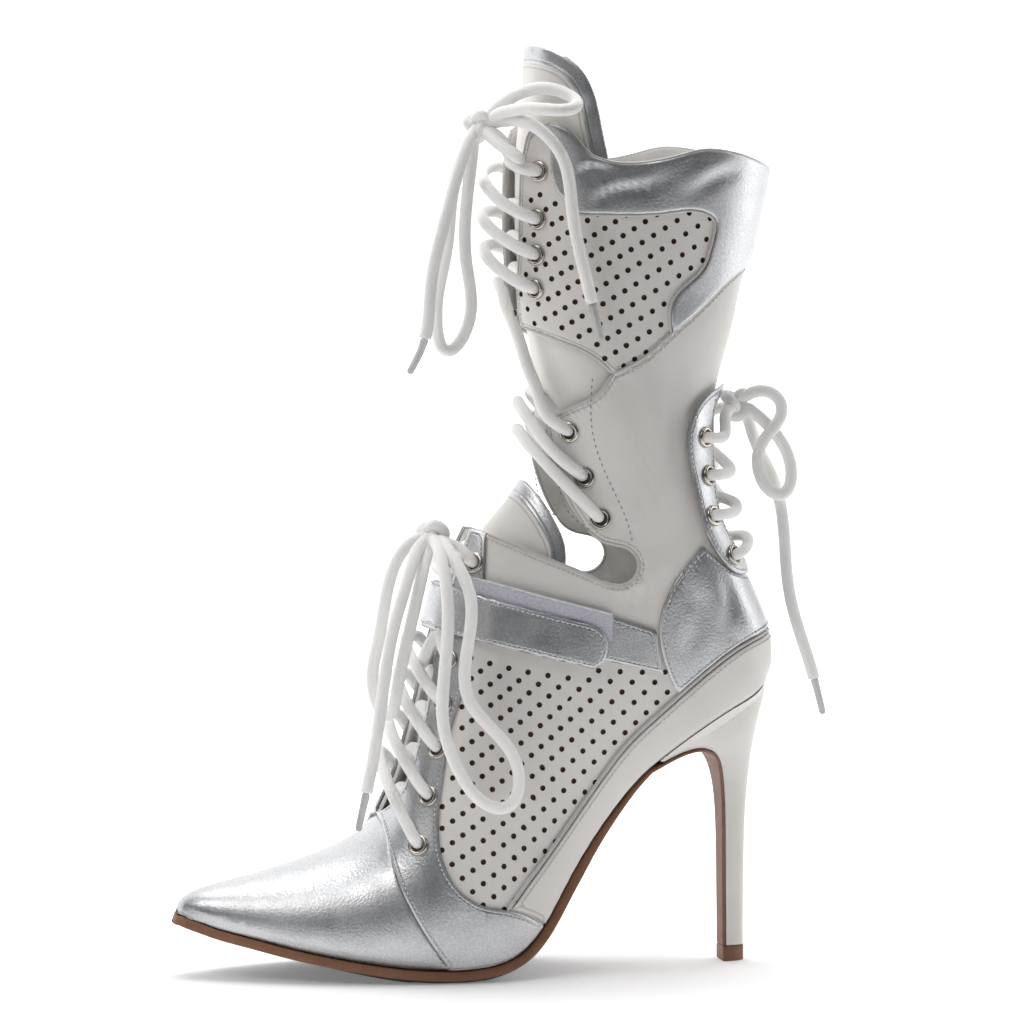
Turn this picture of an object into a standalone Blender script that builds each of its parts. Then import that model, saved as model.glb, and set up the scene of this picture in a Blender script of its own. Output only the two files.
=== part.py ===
"""Heeled boot: a pointed lace-up ankle bootie and its laced shaft on a tall slender heel, for a left foot.

The toe points to -X, the lateral side faces -Y, and the heel tip stands on the floor at the origin.
Side views are written in hundredths: x of the half length, and heights of the heel's height up to the
seat and of half the shaft above it. Widths are hundredths of the ball's or of the shaft's width.
"""

import math

import bmesh
import bpy
import numpy as np
from mathutils import Vector
from mathutils.geometry import delaunay_2d_cdt

# Driving dimensions, in metres
HALF_LENGTH = 0.100  # half the run from the heel tip to the toe's spring
HEEL_HEIGHT = 0.100  # floor to the middle of the heel seat
HALF_SHAFT = 0.100  # half the height from the heel seat to the collar
BALL_WIDTH = 0.078  # of the upper across the ball
SHAFT_WIDTH = 0.066  # of the shaft across the collar
WALL = 0.0016  # leather and lining
GAP = 0.00035  # between pieces that touch
OVERLAY = 0.0010  # thickness of a sewn panel
TONGUE_WALL = 0.0020
STRAP_WALL = 0.0016
SOLE_THICKNESS = 0.0034
BREAST_THICKNESS = 0.0010  # where the sole runs down the front of the heel
SOLE_EDGE = 0.0012  # the sole stands out from the upper by this much
SOLE_BELLY = 0.0019  # how much lower the sole's middle is than its side, at the ball
BELLY_AT = -116.0  # in the side view, and how far the belly reaches from there
BELLY_REACH = 70.0
SOLE_ROUND = 0.0060  # from the sole's side to where its underside is flat
ROUND_SHARE = 0.25  # of the half width, at most
INSOLE_THICKNESS = 0.0015
TIP_HEIGHT = 0.0060
LACE = 0.0046  # diameter
LACE_SIDES = 5
LACE_ARCH = 0.0030  # how much higher the laces cross in the middle than beside their eyelets
LACE_ROOM = 0.0016  # between an eyelet's rim and the lace over it
LACE_STEP = 0.012
LACE_SPREAD = 0.2  # in sections: how far a lace leaves an eyelet to one side of the one that came in
EDGE_SPREAD = 2.8  # and the same at a flap's edge, in the side view
REAR_BULGE = 0.0005  # and how far the rear laces bow out behind the slit
KNOT_ROOM = 0.0066  # from a knot's middle to the end of the lace that runs to it
EYELET_OUTER = 0.0080  # diameters
EYELET_INNER = 0.0054
EYELET_RISE = 0.0009
EYELET_SIDES = 7
KNOT_HALF = (0.0062, 0.0050, 0.0048)
STEP = 0.0095  # spacing of the surface's points
TAPE_WALL = 0.0006
TIP_EDGE = 0.0002
LOOSE = 0.0008  # under a piece whose facets don't follow the upper's
EDGE_LIFT = 0.0016  # the panels' lower border is this far above the sole
EDGE_PAST = 0.16  # and it goes round the seat's end by this share of a section
PANEL_ROOM = 0.9  # beside the piping, in the side view's units
SLIT_ROOM = 0.6
TONGUE_STEP = 0.013
MM = 0.001  # for the laces' points, which are chosen in millimetres
KNOT_SINK = 0.3  # a loop starts this share of the way from the knot's middle
SNAP = 1e-5  # a point this near to the ridge, the back or the toe's tip lies on it
CLEAR_SHARE = 0.45  # of the spacing, kept free beside a border
TOP_EDGE = 0.75  # the share of the sole's edge at its top
BREAST_EDGE = 0.1  # the share of its edge that the sole keeps down the heel
WAIST_ROWS = 6  # the sole begins to thin this many rows before the heel
TOE_FLAT = 0.004  # the sole's toe is flat for this far
COUNTER_AT = (-27.0, 103.2)  # where the counter's front meets the piping, in the side view
FOXING_CORNER = (-92.1, 27.3)  # the foxing's foremost point, between the piping and the wing
HEEL_LEAD = 0.25  # the heel begins this far behind the seat's start, in sections
HEEL_ROUND = 2.3  # how square the heel's sections are behind
HEEL_EVEN = 1.2  # and how their points are spread, from the front to the back
HEEL_RINGS = 14
HEEL_SIDE = 9  # points along each side of a heel section
INSOLE_START = 2.0  # its first section, and how far it stops before the seat's end
INSOLE_STOP = 0.45
INSOLE_ROWS = 34
INSOLE_ROOM = 0.001  # beside the insole

# Sections from the toe's point to the top of the tongue. front and back are where the section's plane
# meets the middle of the last, width is the half width, lateral and medial, of the size in "of",
# widest is where it is widest, from -1 at the back to 1 at the front, and the two last columns say
# how square the front and the back halves are.
SECTIONS = [
    # front x, z, back x, z, lateral, medial, of, middle y, widest, front square, back square
    (-209.6, 23.6, -209.6, 23.6, 0.0, 0.0, "ball", 6.0, -0.40, 2.0, 2.6),
    (-208.6, 27.6, -208.6, 23.3, 4.2, 4.2, "ball", 6.0, -0.40, 2.0, 2.6),
    (-205.6, 30.2, -205.8, 22.2, 8.4, 8.4, "ball", 5.9, -0.42, 2.0, 2.6),
    (-200.6, 32.4, -201.0, 20.6, 12.6, 12.6, "ball", 5.8, -0.45, 2.0, 2.7),
    (-193.2, 34.4, -194.6, 18.5, 17.6, 17.6, "ball", 5.5, -0.48, 2.0, 2.8),
    (-183.0, 36.8, -185.5, 16.3, 24.2, 24.2, "ball", 5.0, -0.50, 2.0, 2.9),
    (-170.3, 40.1, -173.4, 13.3, 31.6, 31.6, "ball", 4.2, -0.52, 2.0, 3.0),
    (-157.0, 44.5, -160.0, 10.4, 38.2, 38.6, "ball", 3.2, -0.54, 2.0, 3.0),
    (-144.8, 49.8, -145.5, 7.8, 43.6, 44.2, "ball", 2.2, -0.55, 2.0, 3.0),
    (-135.6, 57.4, -130.5, 5.7, 47.2, 47.8, "ball", 1.3, -0.55, 2.0, 3.0),
    (-129.6, 68.6, -116.0, 4.8, 49.0, 48.6, "ball", 0.6, -0.54, 2.0, 3.0),
    (-125.4, 82.6, -102.0, 5.3, 48.6, 46.4, "ball", 0.0, -0.52, 2.0, 3.0),
    (-122.3, 98.0, -89.0, 9.0, 47.4, 43.6, "ball", 0.0, -0.48, 2.0, 2.9),
    (-118.3, 113.0, -78.6, 18.2, 43.8, 40.2, "ball", 0.0, -0.42, 2.0, 2.8),
    (-114.4, 128.0, -69.6, 32.0, 40.4, 37.6, "ball", 0.0, -0.35, 2.0, 2.7),
    (-110.5, 142.5, -59.4, 47.6, 37.8, 36.2, "ball", 0.0, -0.28, 2.0, 2.6),
    (-106.2, 156.0, -48.2, 62.2, 36.4, 35.6, "ball", 0.0, -0.22, 2.0, 2.5),
    (-100.0, 168.0, -36.2, 75.2, 36.0, 35.6, "ball", 0.0, -0.18, 2.0, 2.5),
    (-91.5, 178.0, -20.4, 87.6, 36.2, 36.0, "ball", 0.0, -0.15, 2.1, 2.5),
    (-85.0, 188.0, -4.4, 97.2, 36.4, 36.4, "ball", 0.0, -0.12, 2.1, 2.5),
    (-82.0, 198.5, 9.8, 105.4, 43.0, 43.0, "shaft", 0.0, -0.10, 2.1, 2.4),
    (-81.3, 209.5, 12.6, 118.5, 43.0, 43.0, "shaft", 0.0, -0.06, 2.1, 2.3),
    (-81.6, 220.5, 9.0, 132.5, 43.0, 43.0, "shaft", 0.0, -0.02, 2.2, 2.2),
    (-82.6, 231.5, 2.5, 147.5, 43.2, 43.2, "shaft", 0.0, 0.0, 2.2, 2.2),
    (-84.2, 242.5, -4.5, 163.0, 43.4, 43.4, "shaft", 0.0, 0.0, 2.3, 2.2),
    (-86.2, 253.5, -9.0, 181.0, 43.8, 43.8, "shaft", 0.0, 0.0, 2.3, 2.2),
    (-87.7, 264.5, -9.5, 200.0, 44.6, 44.6, "shaft", 0.0, 0.0, 2.3, 2.2),
    (-88.4, 275.5, -6.5, 220.0, 45.8, 45.8, "shaft", 0.0, 0.0, 2.3, 2.2),
    (-88.5, 287.0, -1.2, 241.0, 47.2, 47.2, "shaft", 0.0, 0.0, 2.3, 2.2),
    (-88.0, 300.0, 4.8, 264.0, 48.8, 48.8, "shaft", 0.0, 0.0, 2.3, 2.2),
    (-87.0, 314.0, 10.2, 288.0, 50.0, 50.0, "shaft", 0.0, 0.0, 2.3, 2.2),
    (-85.5, 329.0, 14.2, 312.0, 50.6, 50.6, "shaft", 0.0, 0.0, 2.3, 2.2),
    (-84.0, 346.0, 16.5, 337.0, 51.0, 51.0, "shaft", 0.0, 0.0, 2.3, 2.2),
]
SEAT_START = 17.0  # the section where the upper leaves the sole and sits on the heel
SEAT_END = 20.15  # and the one where the seat ends, behind the heel
FLOOR_SHARE = 0.90  # the upper's half width on the sole, of its widest
SEAT_SHARE = 0.82
WAIST_SHARE = 0.68  # and at the narrow waist under the arch
WAIST_AT = 16.3  # its section, and how many sections it takes before and behind
WAIST_BEFORE = 5.5
WAIST_BEHIND = 2.4
SEAT_ROUND = 2.3  # how square the seat's back end is
SEAT_BLEND = 5.0  # sections over which the sole's share turns into the seat's
SEAT_STRAIGHT = 0.4  # and how long the seat keeps its width

# The heel from its top down: front and back in the side view and the half width in hundredths of
# the ball's width
HEEL = [
    # front x, z, back x, z, half width
    (-30.5, 77.6, 12.4, 102.6, 24.0),
    (-24.0, 80.4, 11.4, 98.6, 22.5),
    (-17.0, 82.0, 10.2, 94.0, 20.5),
    (-11.2, 80.8, 8.8, 88.0, 17.5),
    (-7.0, 76.5, 7.4, 80.0, 13.0),
    (-4.6, 67.0, 6.1, 69.0, 8.8),
    (-3.6, 52.0, 5.0, 53.0, 6.8),
    (-3.3, 32.0, 4.6, 33.0, 6.2),
    (-3.1, 15.0, 4.4, 15.0, 6.0),
    (-3.0, 6.3, 4.4, 6.3, 6.0),
]

# Borders in the side view, the same on both sides of the boot
THROAT = [(-134.6, 58.6), (-128.9, 66.0), (-124.2, 77.0), (-121.0, 89.0), (-117.8, 102.0), (-114.9, 117.0),
          (-111.6, 131.0), (-107.3, 146.0), (-103.0, 158.0), (-100.5, 164.0)]
TAB_TOP = [(-100.5, 164.0), (-96.0, 162.8)]
INSTEP_TOP = [(-96.0, 162.8), (-88.0, 159.3), (-77.0, 154.6), (-66.0, 150.2), (-57.0, 146.2)]
ANKLE_CUT = [(-57.0, 146.2), (-51.0, 144.2), (-46.0, 145.3), (-42.8, 149.0), (-42.5, 153.5), (-45.5, 157.6),
             (-50.5, 159.4), (-56.0, 161.0), (-61.5, 165.8)]
LOWER_FLAP = [(-61.5, 165.8), (-66.0, 173.0), (-70.0, 181.5), (-73.0, 191.0), (-74.2, 204.5)]
WINDOW_LOW = [(-74.2, 204.5), (-66.0, 209.6), (-58.0, 214.2), (-52.3, 222.2)]
WINDOW_TOP = [(-52.3, 222.2), (-58.0, 227.5), (-66.0, 232.0), (-74.5, 235.4), (-82.6, 238.8)]
UPPER_FLAP = [(-82.6, 238.8), (-84.2, 250.0), (-84.8, 266.0), (-84.8, 284.0), (-84.0, 298.0), (-81.6, 310.0)]
FLAP_TOP = [(-81.6, 310.0), (-75.0, 313.6)]
COLLAR_RIM = [(-75.0, 313.6), (-69.0, 311.0), (-62.0, 302.8), (-54.0, 299.4), (-41.0, 299.2),
              (-30.0, 301.3), (-20.0, 303.6), (-10.0, 303.0), (-2.0, 301.2), (6.0, 298.6), (13.2, 296.0)]
REAR_SLIT = [(-8.0, 214.5), (-12.0, 210.0), (-13.2, 200.0), (-13.4, 188.0), (-12.6, 174.0), (-9.6, 165.0),
             (-5.6, 157.6), (0.6, 149.6)]

PIPING = [(-94.0, 27.0), (-86.0, 36.6), (-78.0, 46.0), (-70.0, 56.0), (-62.0, 66.4), (-53.5, 77.4),
          (-45.5, 86.8), (-36.0, 95.4), (-27.0, 103.2), (-14.0, 113.6), (0.0, 122.0), (12.0, 125.5)]
WING_SEAM = [(-94.0, 27.0), (-84.0, 23.0), (-76.5, 17.5)]
WING_REAR = [(-94.0, 27.0), (-104.5, 29.6), (-113.0, 36.5), (-117.6, 48.0), (-117.6, 61.0), (-115.0, 77.0),
             (-111.8, 92.0), (-107.0, 106.0), (-103.5, 122.0), (-98.8, 142.0), (-96.0, 162.8)]
VAMP_SEAM = [(-134.6, 58.6), (-134.6, 50.0), (-132.6, 37.0), (-127.0, 24.0), (-120.0, 12.6), (-113.5, 4.2)]
COUNTER_FRONT = [(-27.8, 104.4), (-31.0, 111.0), (-34.0, 120.0), (-35.0, 129.5), (-33.0, 138.0), (-28.0, 147.0),
                 (-18.5, 158.0)]
COUNTER_TOP = [(-18.5, 158.0), (-12.6, 153.0), (-6.6, 148.6), (3.6, 145.5)]
COLLAR_FRONT = [(-75.0, 313.6), (-74.4, 305.0), (-74.6, 296.0), (-72.0, 288.0), (-66.0, 281.0)]
COLLAR_LOW = [(-66.0, 281.0), (-50.0, 280.6), (-34.0, 281.2), (-19.0, 281.4), (-14.2, 278.4), (-14.6, 271.0),
              (-18.5, 260.0), (-26.5, 253.0), (-30.6, 247.6), (-31.0, 241.0), (-30.4, 237.0)]
SHAFT_SEAM = [(-30.4, 237.0), (-20.0, 245.2), (-11.0, 252.8), (-3.0, 258.6), (5.0, 262.0)]
REAR_STAY = [(-8.0, 217.5), (-17.0, 213.4), (-23.6, 206.0), (-25.6, 197.5), (-24.2, 186.0), (-21.2, 173.0),
             (-17.0, 160.5), (-10.8, 151.2), (-5.0, 146.8), (0.0, 146.4)]

TONGUE_TOP_SHAFT = [(-86.0, 342.5), (-75.0, 340.0), (-66.0, 334.0), (-60.5, 325.0), (-57.0, 311.0), (-54.0, 298.0)]
TONGUE_SIDE_SHAFT = [(-54.0, 298.0), (-52.0, 270.0), (-50.0, 240.0), (-51.0, 215.0), (-56.0, 193.0)]
TONGUE_FOOT_SHAFT = [(-56.0, 193.0), (-68.0, 194.0), (-83.5, 196.0)]
TONGUE_TOP_INSTEP = [(-87.0, 186.0), (-79.0, 178.0), (-73.0, 168.6), (-69.5, 160.0), (-69.5, 149.0)]
TONGUE_SIDE_INSTEP = [(-69.5, 149.0), (-79.0, 132.0), (-92.0, 108.0), (-103.0, 86.0), (-113.0, 68.0)]
TONGUE_FOOT_INSTEP = [(-113.0, 68.0), (-122.0, 60.0), (-137.5, 56.6)]
TONGUE_CLEAR = 0.0010  # between the wall's inner face and the tongue
TONGUE_SINK = 0.0022  # how much flatter a tongue is than the boot's front

STRAP_LOW = [(-114.5, 127.0), (-107.0, 125.4), (-90.0, 121.4), (-75.0, 117.8), (-60.0, 114.2)]
STRAP_END = [(-60.0, 114.2), (-56.4, 117.0), (-54.8, 121.5), (-55.6, 126.5), (-60.5, 130.2)]
STRAP_TOP = [(-60.5, 130.2), (-75.0, 133.8), (-90.0, 137.8), (-106.0, 142.6), (-112.0, 145.5)]
TAPE_LOW = [(-103.5, 143.2), (-90.0, 139.4), (-75.0, 135.6), (-56.0, 131.4)]
TAPE_TOP = [(-55.0, 134.6), (-75.0, 139.8), (-90.0, 143.8), (-102.5, 147.0)]
BAND = [(-52.0, 116.0), (-52.0, 133.0), (-36.2, 127.6), (-35.4, 119.6), (-33.4, 111.8)]

# Eyelets in the side view, the same on both sides
INSTEP_EYELETS = [(-125.0, 50.5), (-120.2, 68.0), (-116.4, 85.0), (-113.4, 101.0), (-110.6, 117.0), (-100.6, 152.0)]
LOWER_EYELETS = [(-67.0, 200.6), (-62.0, 184.0), (-56.4, 168.8)]
UPPER_EYELETS = [(-79.6, 253.0), (-79.8, 265.5), (-79.6, 278.5), (-79.0, 296.0)]
REAR_EYELETS = [(-18.4, 198.0), (-17.4, 183.4), (-15.6, 168.4), (-7.4, 153.6)]
LOWER_EDGE = [(-78.4, 200.6), (-75.0, 184.0), (-68.0, 170.0)]  # where the laces pass the lower flap's edge
LOWER_BULGE = [0.0, 0.0, 0.0050]  # and how far they bow out in front of the tongue, from the lowest row up
REAR_EDGE = [(-11.0, 199.0), (-10.6, 184.0), (-8.6, 169.5), (-2.4, 156.0)]
# The last instep crossing, under the strap: height, share of the throat's half width, offset in millimetres
UNDER_STRAP = [(118.2, 0.85, 4.4), (124.0, 0.0, -1.9), (131.0, 0.0, -1.9), (139.0, 0.0, -1.9),
               (147.0, 0.0, -1.5), (150.6, -0.85, 4.4)]

# The bows, in millimetres: a knot's middle, and the points that each loop or end follows from it
SHAFT_KNOT = (-97.0, -4.0, 313.0)
SHAFT_BOW = [
    [(-95.0, -9.0, 309.4), (-89.0, -20.0, 303.0), (-85.0, -24.5, 299.6)],
    [(-90.6, -10.0, 314.2), (-79.6, -29.4, 311.0), (-73.4, -34.4, 303.1), (-69.4, -36.0, 281.7),
     (-64.6, -36.6, 258.1), (-58.6, -36.6, 234.7)],
    [(-92.0, -8.0, 318.5), (-84.0, -15.0, 324.6), (-75.6, -22.0, 326.4), (-67.8, -28.0, 323.2),
     (-66.6, -30.0, 319.2), (-72.0, -30.0, 318.2), (-80.5, -25.0, 319.4), (-91.0, -12.0, 317.4)],
    [(-101.0, -7.0, 308.2), (-106.6, -11.0, 295.6), (-112.4, -13.0, 276.3), (-117.4, -13.0, 252.8),
     (-119.4, -13.0, 234.4), (-125.2, -12.0, 222.1)],
    [(-101.0, -3.0, 306.4), (-106.6, -2.0, 289.8), (-109.2, -2.0, 265.8), (-113.2, -3.0, 240.3),
     (-109.7, -4.0, 228.3), (-102.6, -4.0, 236.1), (-102.0, -3.0, 262.2), (-100.6, -3.0, 294.4),
     (-99.2, -3.0, 306.0)],
]
INSTEP_KNOT = (-115.4, -6.0, 162.4)
INSTEP_BOW = [
    [(-113.5, -10.0, 158.4), (-108.6, -16.0, 154.8), (-106.6, -18.6, 153.4)],
    [(-115.4, -12.0, 160.4), (-116.0, -28.0, 153.9), (-115.8, -37.0, 140.2), (-117.4, -39.0, 115.2),
     (-118.1, -41.4, 94.1), (-112.2, -43.4, 77.8), (-104.4, -44.4, 67.7), (-94.7, -44.0, 65.2),
     (-90.3, -42.8, 73.9), (-94.7, -41.8, 88.0), (-109.1, -39.4, 105.8), (-109.0, -38.4, 122.6),
     (-107.2, -37.0, 142.1), (-110.3, -29.0, 152.7), (-113.0, -12.0, 160.4)],
    [(-120.2, -9.0, 159.4), (-125.5, -17.0, 151.2), (-132.3, -22.0, 132.2), (-140.6, -29.0, 90.5),
     (-148.0, -31.0, 56.9)],
    [(-120.6, -6.0, 161.4), (-131.7, -10.0, 148.1), (-136.6, -12.0, 124.6), (-138.2, -13.0, 103.0),
     (-133.9, -15.0, 95.3), (-131.4, -20.0, 106.4), (-127.4, -20.0, 125.4), (-119.8, -13.0, 151.9),
     (-117.0, -8.0, 159.4)],
]
REAR_KNOT = (0.2, -4.0, 209.3)
REAR_BOW = [
    [(4.4, -6.0, 213.2), (8.2, -7.0, 214.6), (15.3, -8.0, 212.3), (17.5, -8.0, 205.9), (11.2, -8.0, 197.7),
     (7.3, -8.0, 190.8), (8.1, -8.0, 182.9), (12.0, -8.0, 176.5), (17.8, -8.0, 174.2), (20.7, -8.0, 180.2),
     (18.8, -7.0, 192.0), (11.4, -6.0, 202.0), (4.6, -5.0, 207.6)],
    [(4.0, -1.0, 207.6), (7.1, 0.0, 199.3), (16.2, -1.0, 178.9), (19.6, -3.0, 154.3), (21.1, -4.0, 137.8),
     (29.6, -5.0, 109.0), (34.0, -5.0, 92.3)],
]


def height(z):
    """A side view's height in metres."""
    z = np.asarray(z, float)
    return (np.minimum(z, 100) * HEEL_HEIGHT + np.maximum(z - 100, 0) * HALF_SHAFT) / 100


def side_view(points):
    """Side view points in metres."""
    points = np.asarray(points, float).reshape(-1, 2)
    return np.column_stack([points[:, 0] * HALF_LENGTH / 100, height(points[:, 1])])


def smooth(knots, rows):
    """A function that runs smoothly through the rows, one at each knot."""
    knots, rows = np.asarray(knots, float), np.asarray(rows, float).reshape(len(knots), -1)
    n, h = len(knots), np.diff(knots)
    bends = np.zeros_like(rows)
    if n > 2:
        system = np.diag(2 * (h[:-1] + h[1:])) + np.diag(h[1:-1], 1) + np.diag(h[1:-1], -1)
        slopes = np.diff(rows, axis=0) / h[:, None]
        bends[1:-1] = np.linalg.solve(system, 6 * np.diff(slopes, axis=0))

    def at(u):
        u = np.clip(np.atleast_1d(np.asarray(u, float)), knots[0], knots[-1])
        i = np.clip(np.searchsorted(knots, u, side="right") - 1, 0, n - 2)
        step, a = h[i][:, None], ((knots[i + 1] - u) / h[i])[:, None]
        b = 1 - a
        curve = (a**3 - a) * bends[i] + (b**3 - b) * bends[i + 1]
        return a * rows[i] + b * rows[i + 1] + curve * step**2 / 6

    return at


def sampled(points, step=STEP):
    """A smooth curve through the points, as points about step apart."""
    points = np.asarray(points, float)
    along = np.concatenate([[0], np.cumsum(np.linalg.norm(np.diff(points, axis=0), axis=1))])
    count = max(2, math.ceil(along[-1] / step) + 1)
    return smooth(along, points)(np.linspace(0, along[-1], count))


def section_rows():
    """The sections in metres, continued through the toe's point so that the tip comes out round."""
    widths = {"ball": BALL_WIDTH, "shaft": SHAFT_WIDTH}
    rows = []
    for fx, fz, bx, bz, lateral, medial, of, middle, widest, front, back in SECTIONS:
        (fx, fz), (bx, bz) = side_view([(fx, fz), (bx, bz)])
        of = widths[of] / 100
        rows.append([fx, fz, bx, bz, lateral * of, medial * of, middle * of, widest, front, back])
    first = rows[1]
    through = [first[2], first[3], first[0], first[1], -first[4], -first[5], *first[6:]]
    return [through, *rows]


ROWS = section_rows()
SECTION_AT = smooth(np.arange(-1, len(SECTIONS)), ROWS)
LAST = len(SECTIONS) - 1.0


def floor_share(s):
    """The half width on the sole or seat, as a share of the section's widest."""
    s = np.asarray(s, float)
    blend = np.clip((s - SEAT_START + SEAT_BLEND) / SEAT_BLEND, 0, 1)
    share = FLOOR_SHARE + (SEAT_SHARE - FLOOR_SHARE) * blend * blend * (3 - 2 * blend)
    run = np.where(s < WAIST_AT, WAIST_BEFORE, WAIST_BEHIND)
    waist = np.clip(1 - np.abs(s - WAIST_AT) / run, 0, 1)
    share = share + (WAIST_SHARE - share) * waist * waist * (3 - 2 * waist)
    behind = np.clip((s - SEAT_START - SEAT_STRAIGHT) / (SEAT_END - SEAT_START - SEAT_STRAIGHT), 0, 1)
    return share * (1 - behind**SEAT_ROUND) ** (1 / SEAT_ROUND)


def surface(s, t, side):
    """Points of the upper's face: t is 0 along the front, pi along the back or the sole's edge."""
    s, t, side = np.broadcast_arrays(*(np.asarray(v, float) for v in (s, t, side)))
    side = np.where(t < 0, -side, side)
    t = np.abs(t)
    row = SECTION_AT(s.ravel()).reshape(*s.shape, -1)
    front, back = row[..., 0:2], row[..., 2:4]
    wide = np.where(side < 0, row[..., 4], row[..., 5])
    middle, widest, front_n, back_n = (row[..., k] for k in (6, 7, 8, 9))
    c = np.cos(t)
    ahead = np.maximum(c, 0) ** (2 / front_n)
    behind = np.maximum(-c, 0) ** (2 / back_n)
    v = widest + (1 - widest) * ahead - (1 + widest) * behind
    closing = 1 - floor_share(s) ** back_n
    out = np.where(
        c >= 0,
        np.maximum(1 - c * c, 0) ** (1 / front_n),
        np.maximum(1 - closing * c * c, 0) ** (1 / back_n),
    )
    flat = (front + back) / 2 + (front - back) / 2 * v[..., None]
    return np.stack([flat[..., 0], middle + side * wide * out, flat[..., 1]], axis=-1)


def outward(s, t, side):
    """The face's outward directions at the same points."""
    small = 1e-3
    s, t, side = np.broadcast_arrays(*(np.asarray(v, float) for v in (s, t, side)))
    open_below = floor_share(s) > 0
    mid = np.clip(t, small, np.pi - small)
    along = surface(np.minimum(s + small, LAST), mid, side) - surface(np.maximum(s - small, 0), mid, side)
    round_it = surface(s, mid + small, side) - surface(s, mid - small, side)
    normal = np.cross(along, round_it) * side[..., None]
    on_ridge = (t < small) | ((t > np.pi - small) & ~open_below)
    normal[..., 1] = np.where(on_ridge, 0, normal[..., 1])
    row = SECTION_AT(s.ravel()).reshape(*s.shape, -1)
    tip = (s < small)[..., None]
    normal = np.where(tip, np.array([-1.0, 0.0, 0.0]), normal)
    size = np.linalg.norm(normal, axis=-1, keepdims=True)
    normal = normal / np.maximum(size, 1e-12)
    middle = (row[..., 0:2] + row[..., 2:4]) / 2
    point = surface(s, t, side)
    away = point - np.stack([middle[..., 0], row[..., 6], middle[..., 1]], axis=-1)
    wrong = (np.sum(away * normal, axis=-1) < 0)[..., None] & ~tip
    return np.where(wrong, -normal, normal)


def offset_point(s, t, side, off):
    return surface(s, t, side) + outward(s, t, side) * np.asarray(off, float)[..., None]


GRID = np.linspace(0.02, LAST, 1601)
GRID_ROWS = SECTION_AT(GRID)


def to_surface(points):
    """(s, t) of side view points in metres: the section whose plane holds each, and how far round it."""
    found = []
    for x, z in np.asarray(points, float).reshape(-1, 2):
        ahead = GRID_ROWS[:, 0:2] - GRID_ROWS[:, 2:4]
        to = np.array([x, z]) - GRID_ROWS[:, 2:4]
        turn = ahead[:, 0] * to[:, 1] - ahead[:, 1] * to[:, 0]
        share = np.sum(ahead * to, axis=1) / np.maximum(np.sum(ahead * ahead, axis=1), 1e-12)
        crossed = np.flatnonzero((turn[:-1] < 0) != (turn[1:] < 0))
        crossed = crossed[(share[crossed] > -0.3) & (share[crossed] < 1.3)]
        i = crossed[0] if len(crossed) else int(np.abs(turn).argmin())
        i = min(i, len(GRID) - 2)
        mix = turn[i] / (turn[i] - turn[i + 1]) if turn[i] != turn[i + 1] else 0.0
        s = GRID[i] + mix * (GRID[i + 1] - GRID[i])
        row = SECTION_AT(s)[0]
        line = row[0:2] - row[2:4]
        v = 2 * float(np.dot(np.array([x, z]) - row[2:4], line) / max(np.dot(line, line), 1e-12)) - 1
        v = min(max(v, -1.0), 1.0)
        widest, front_n, back_n = row[7], row[8], row[9]
        if v >= widest:
            t = math.acos(min(1.0, ((v - widest) / (1 - widest)) ** (front_n / 2)))
        else:
            t = math.acos(-min(1.0, ((widest - v) / (1 + widest)) ** (back_n / 2)))
        found.append((s, t))
    return np.array(found)


def border(points, step=STEP):
    """A side view border as points on the surface."""
    return to_surface(sampled(side_view(points), step))


def along_edge(s0, s1, t, step=STEP):
    """Points on the surface along one t, about step apart."""
    fine = np.linspace(s0, s1, 200)
    places = surface(fine, t, -1)
    run = np.concatenate([[0], np.cumsum(np.linalg.norm(np.diff(places, axis=0), axis=1))])
    count = max(2, math.ceil(run[-1] / step) + 1)
    s = np.interp(np.linspace(0, run[-1], count), run, fine)
    return np.column_stack([s, np.full(count, t)])


SOLE_ROWS = along_edge(0.02, SEAT_END, np.pi, STEP * 0.8)[:, 0]


def inside(points, outline):
    """Whether each point is inside a closed outline."""
    x, y = points[:, 0:1], points[:, 1:2]
    ax, ay = outline[:, 0], outline[:, 1]
    bx, by = np.roll(ax, -1), np.roll(ay, -1)
    with np.errstate(divide="ignore", invalid="ignore"):
        cut = ax + (y - ay) * (bx - ax) / (by - ay)
    hits = ((ay > y) != (by > y)) & (x < cut)
    return hits.sum(axis=1) % 2 == 1


def distance_to_line(points, line):
    """How far each point is from a line."""
    a, b = line[:-1], line[1:]
    d = b - a
    to = points[:, None] - a[None]
    share = np.clip(np.sum(to * d, axis=2) / np.maximum(np.sum(d * d, axis=1), 1e-18), 0, 1)
    return np.linalg.norm(to - share[..., None] * d, axis=2).min(axis=1)


def edge_t(s):
    """How far round the lower border of the sewn panels lies, a little above the sole and the seat."""
    s = np.asarray(s, float)
    row = SECTION_AT(s.ravel())
    half = np.linalg.norm(row[:, 0:2] - row[:, 2:4], axis=1) / 2
    c = (1 - EDGE_LIFT / (half * (1 + row[:, 7]))) ** (row[:, 9] / 2)
    last = SEAT_END + EDGE_PAST
    end = np.clip((s.ravel() - last + 4 * EDGE_PAST) / (4 * EDGE_PAST), 0, 1)
    return (np.pi - np.arccos(c) * np.sqrt(1 - end * end)).reshape(s.shape)


def panel_edge(s0, s1):
    """The panels' lower border between two sections."""
    line = along_edge(s0, s1, np.pi, STEP)
    line[:, 1] = edge_t(line[:, 0])
    return line


def to_edge(part):
    """A border that runs down towards the sole, stopped at the panels' lower border."""
    beyond = int(np.argmax(part[:, 1] > edge_t(part[:, 0])))
    for share in np.linspace(0, 1, 101):
        s, t = part[beyond - 1] + (part[beyond] - part[beyond - 1]) * share
        if t >= edge_t(s):
            break
    return np.vstack([part[:beyond], [(s, edge_t(s))]])


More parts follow.
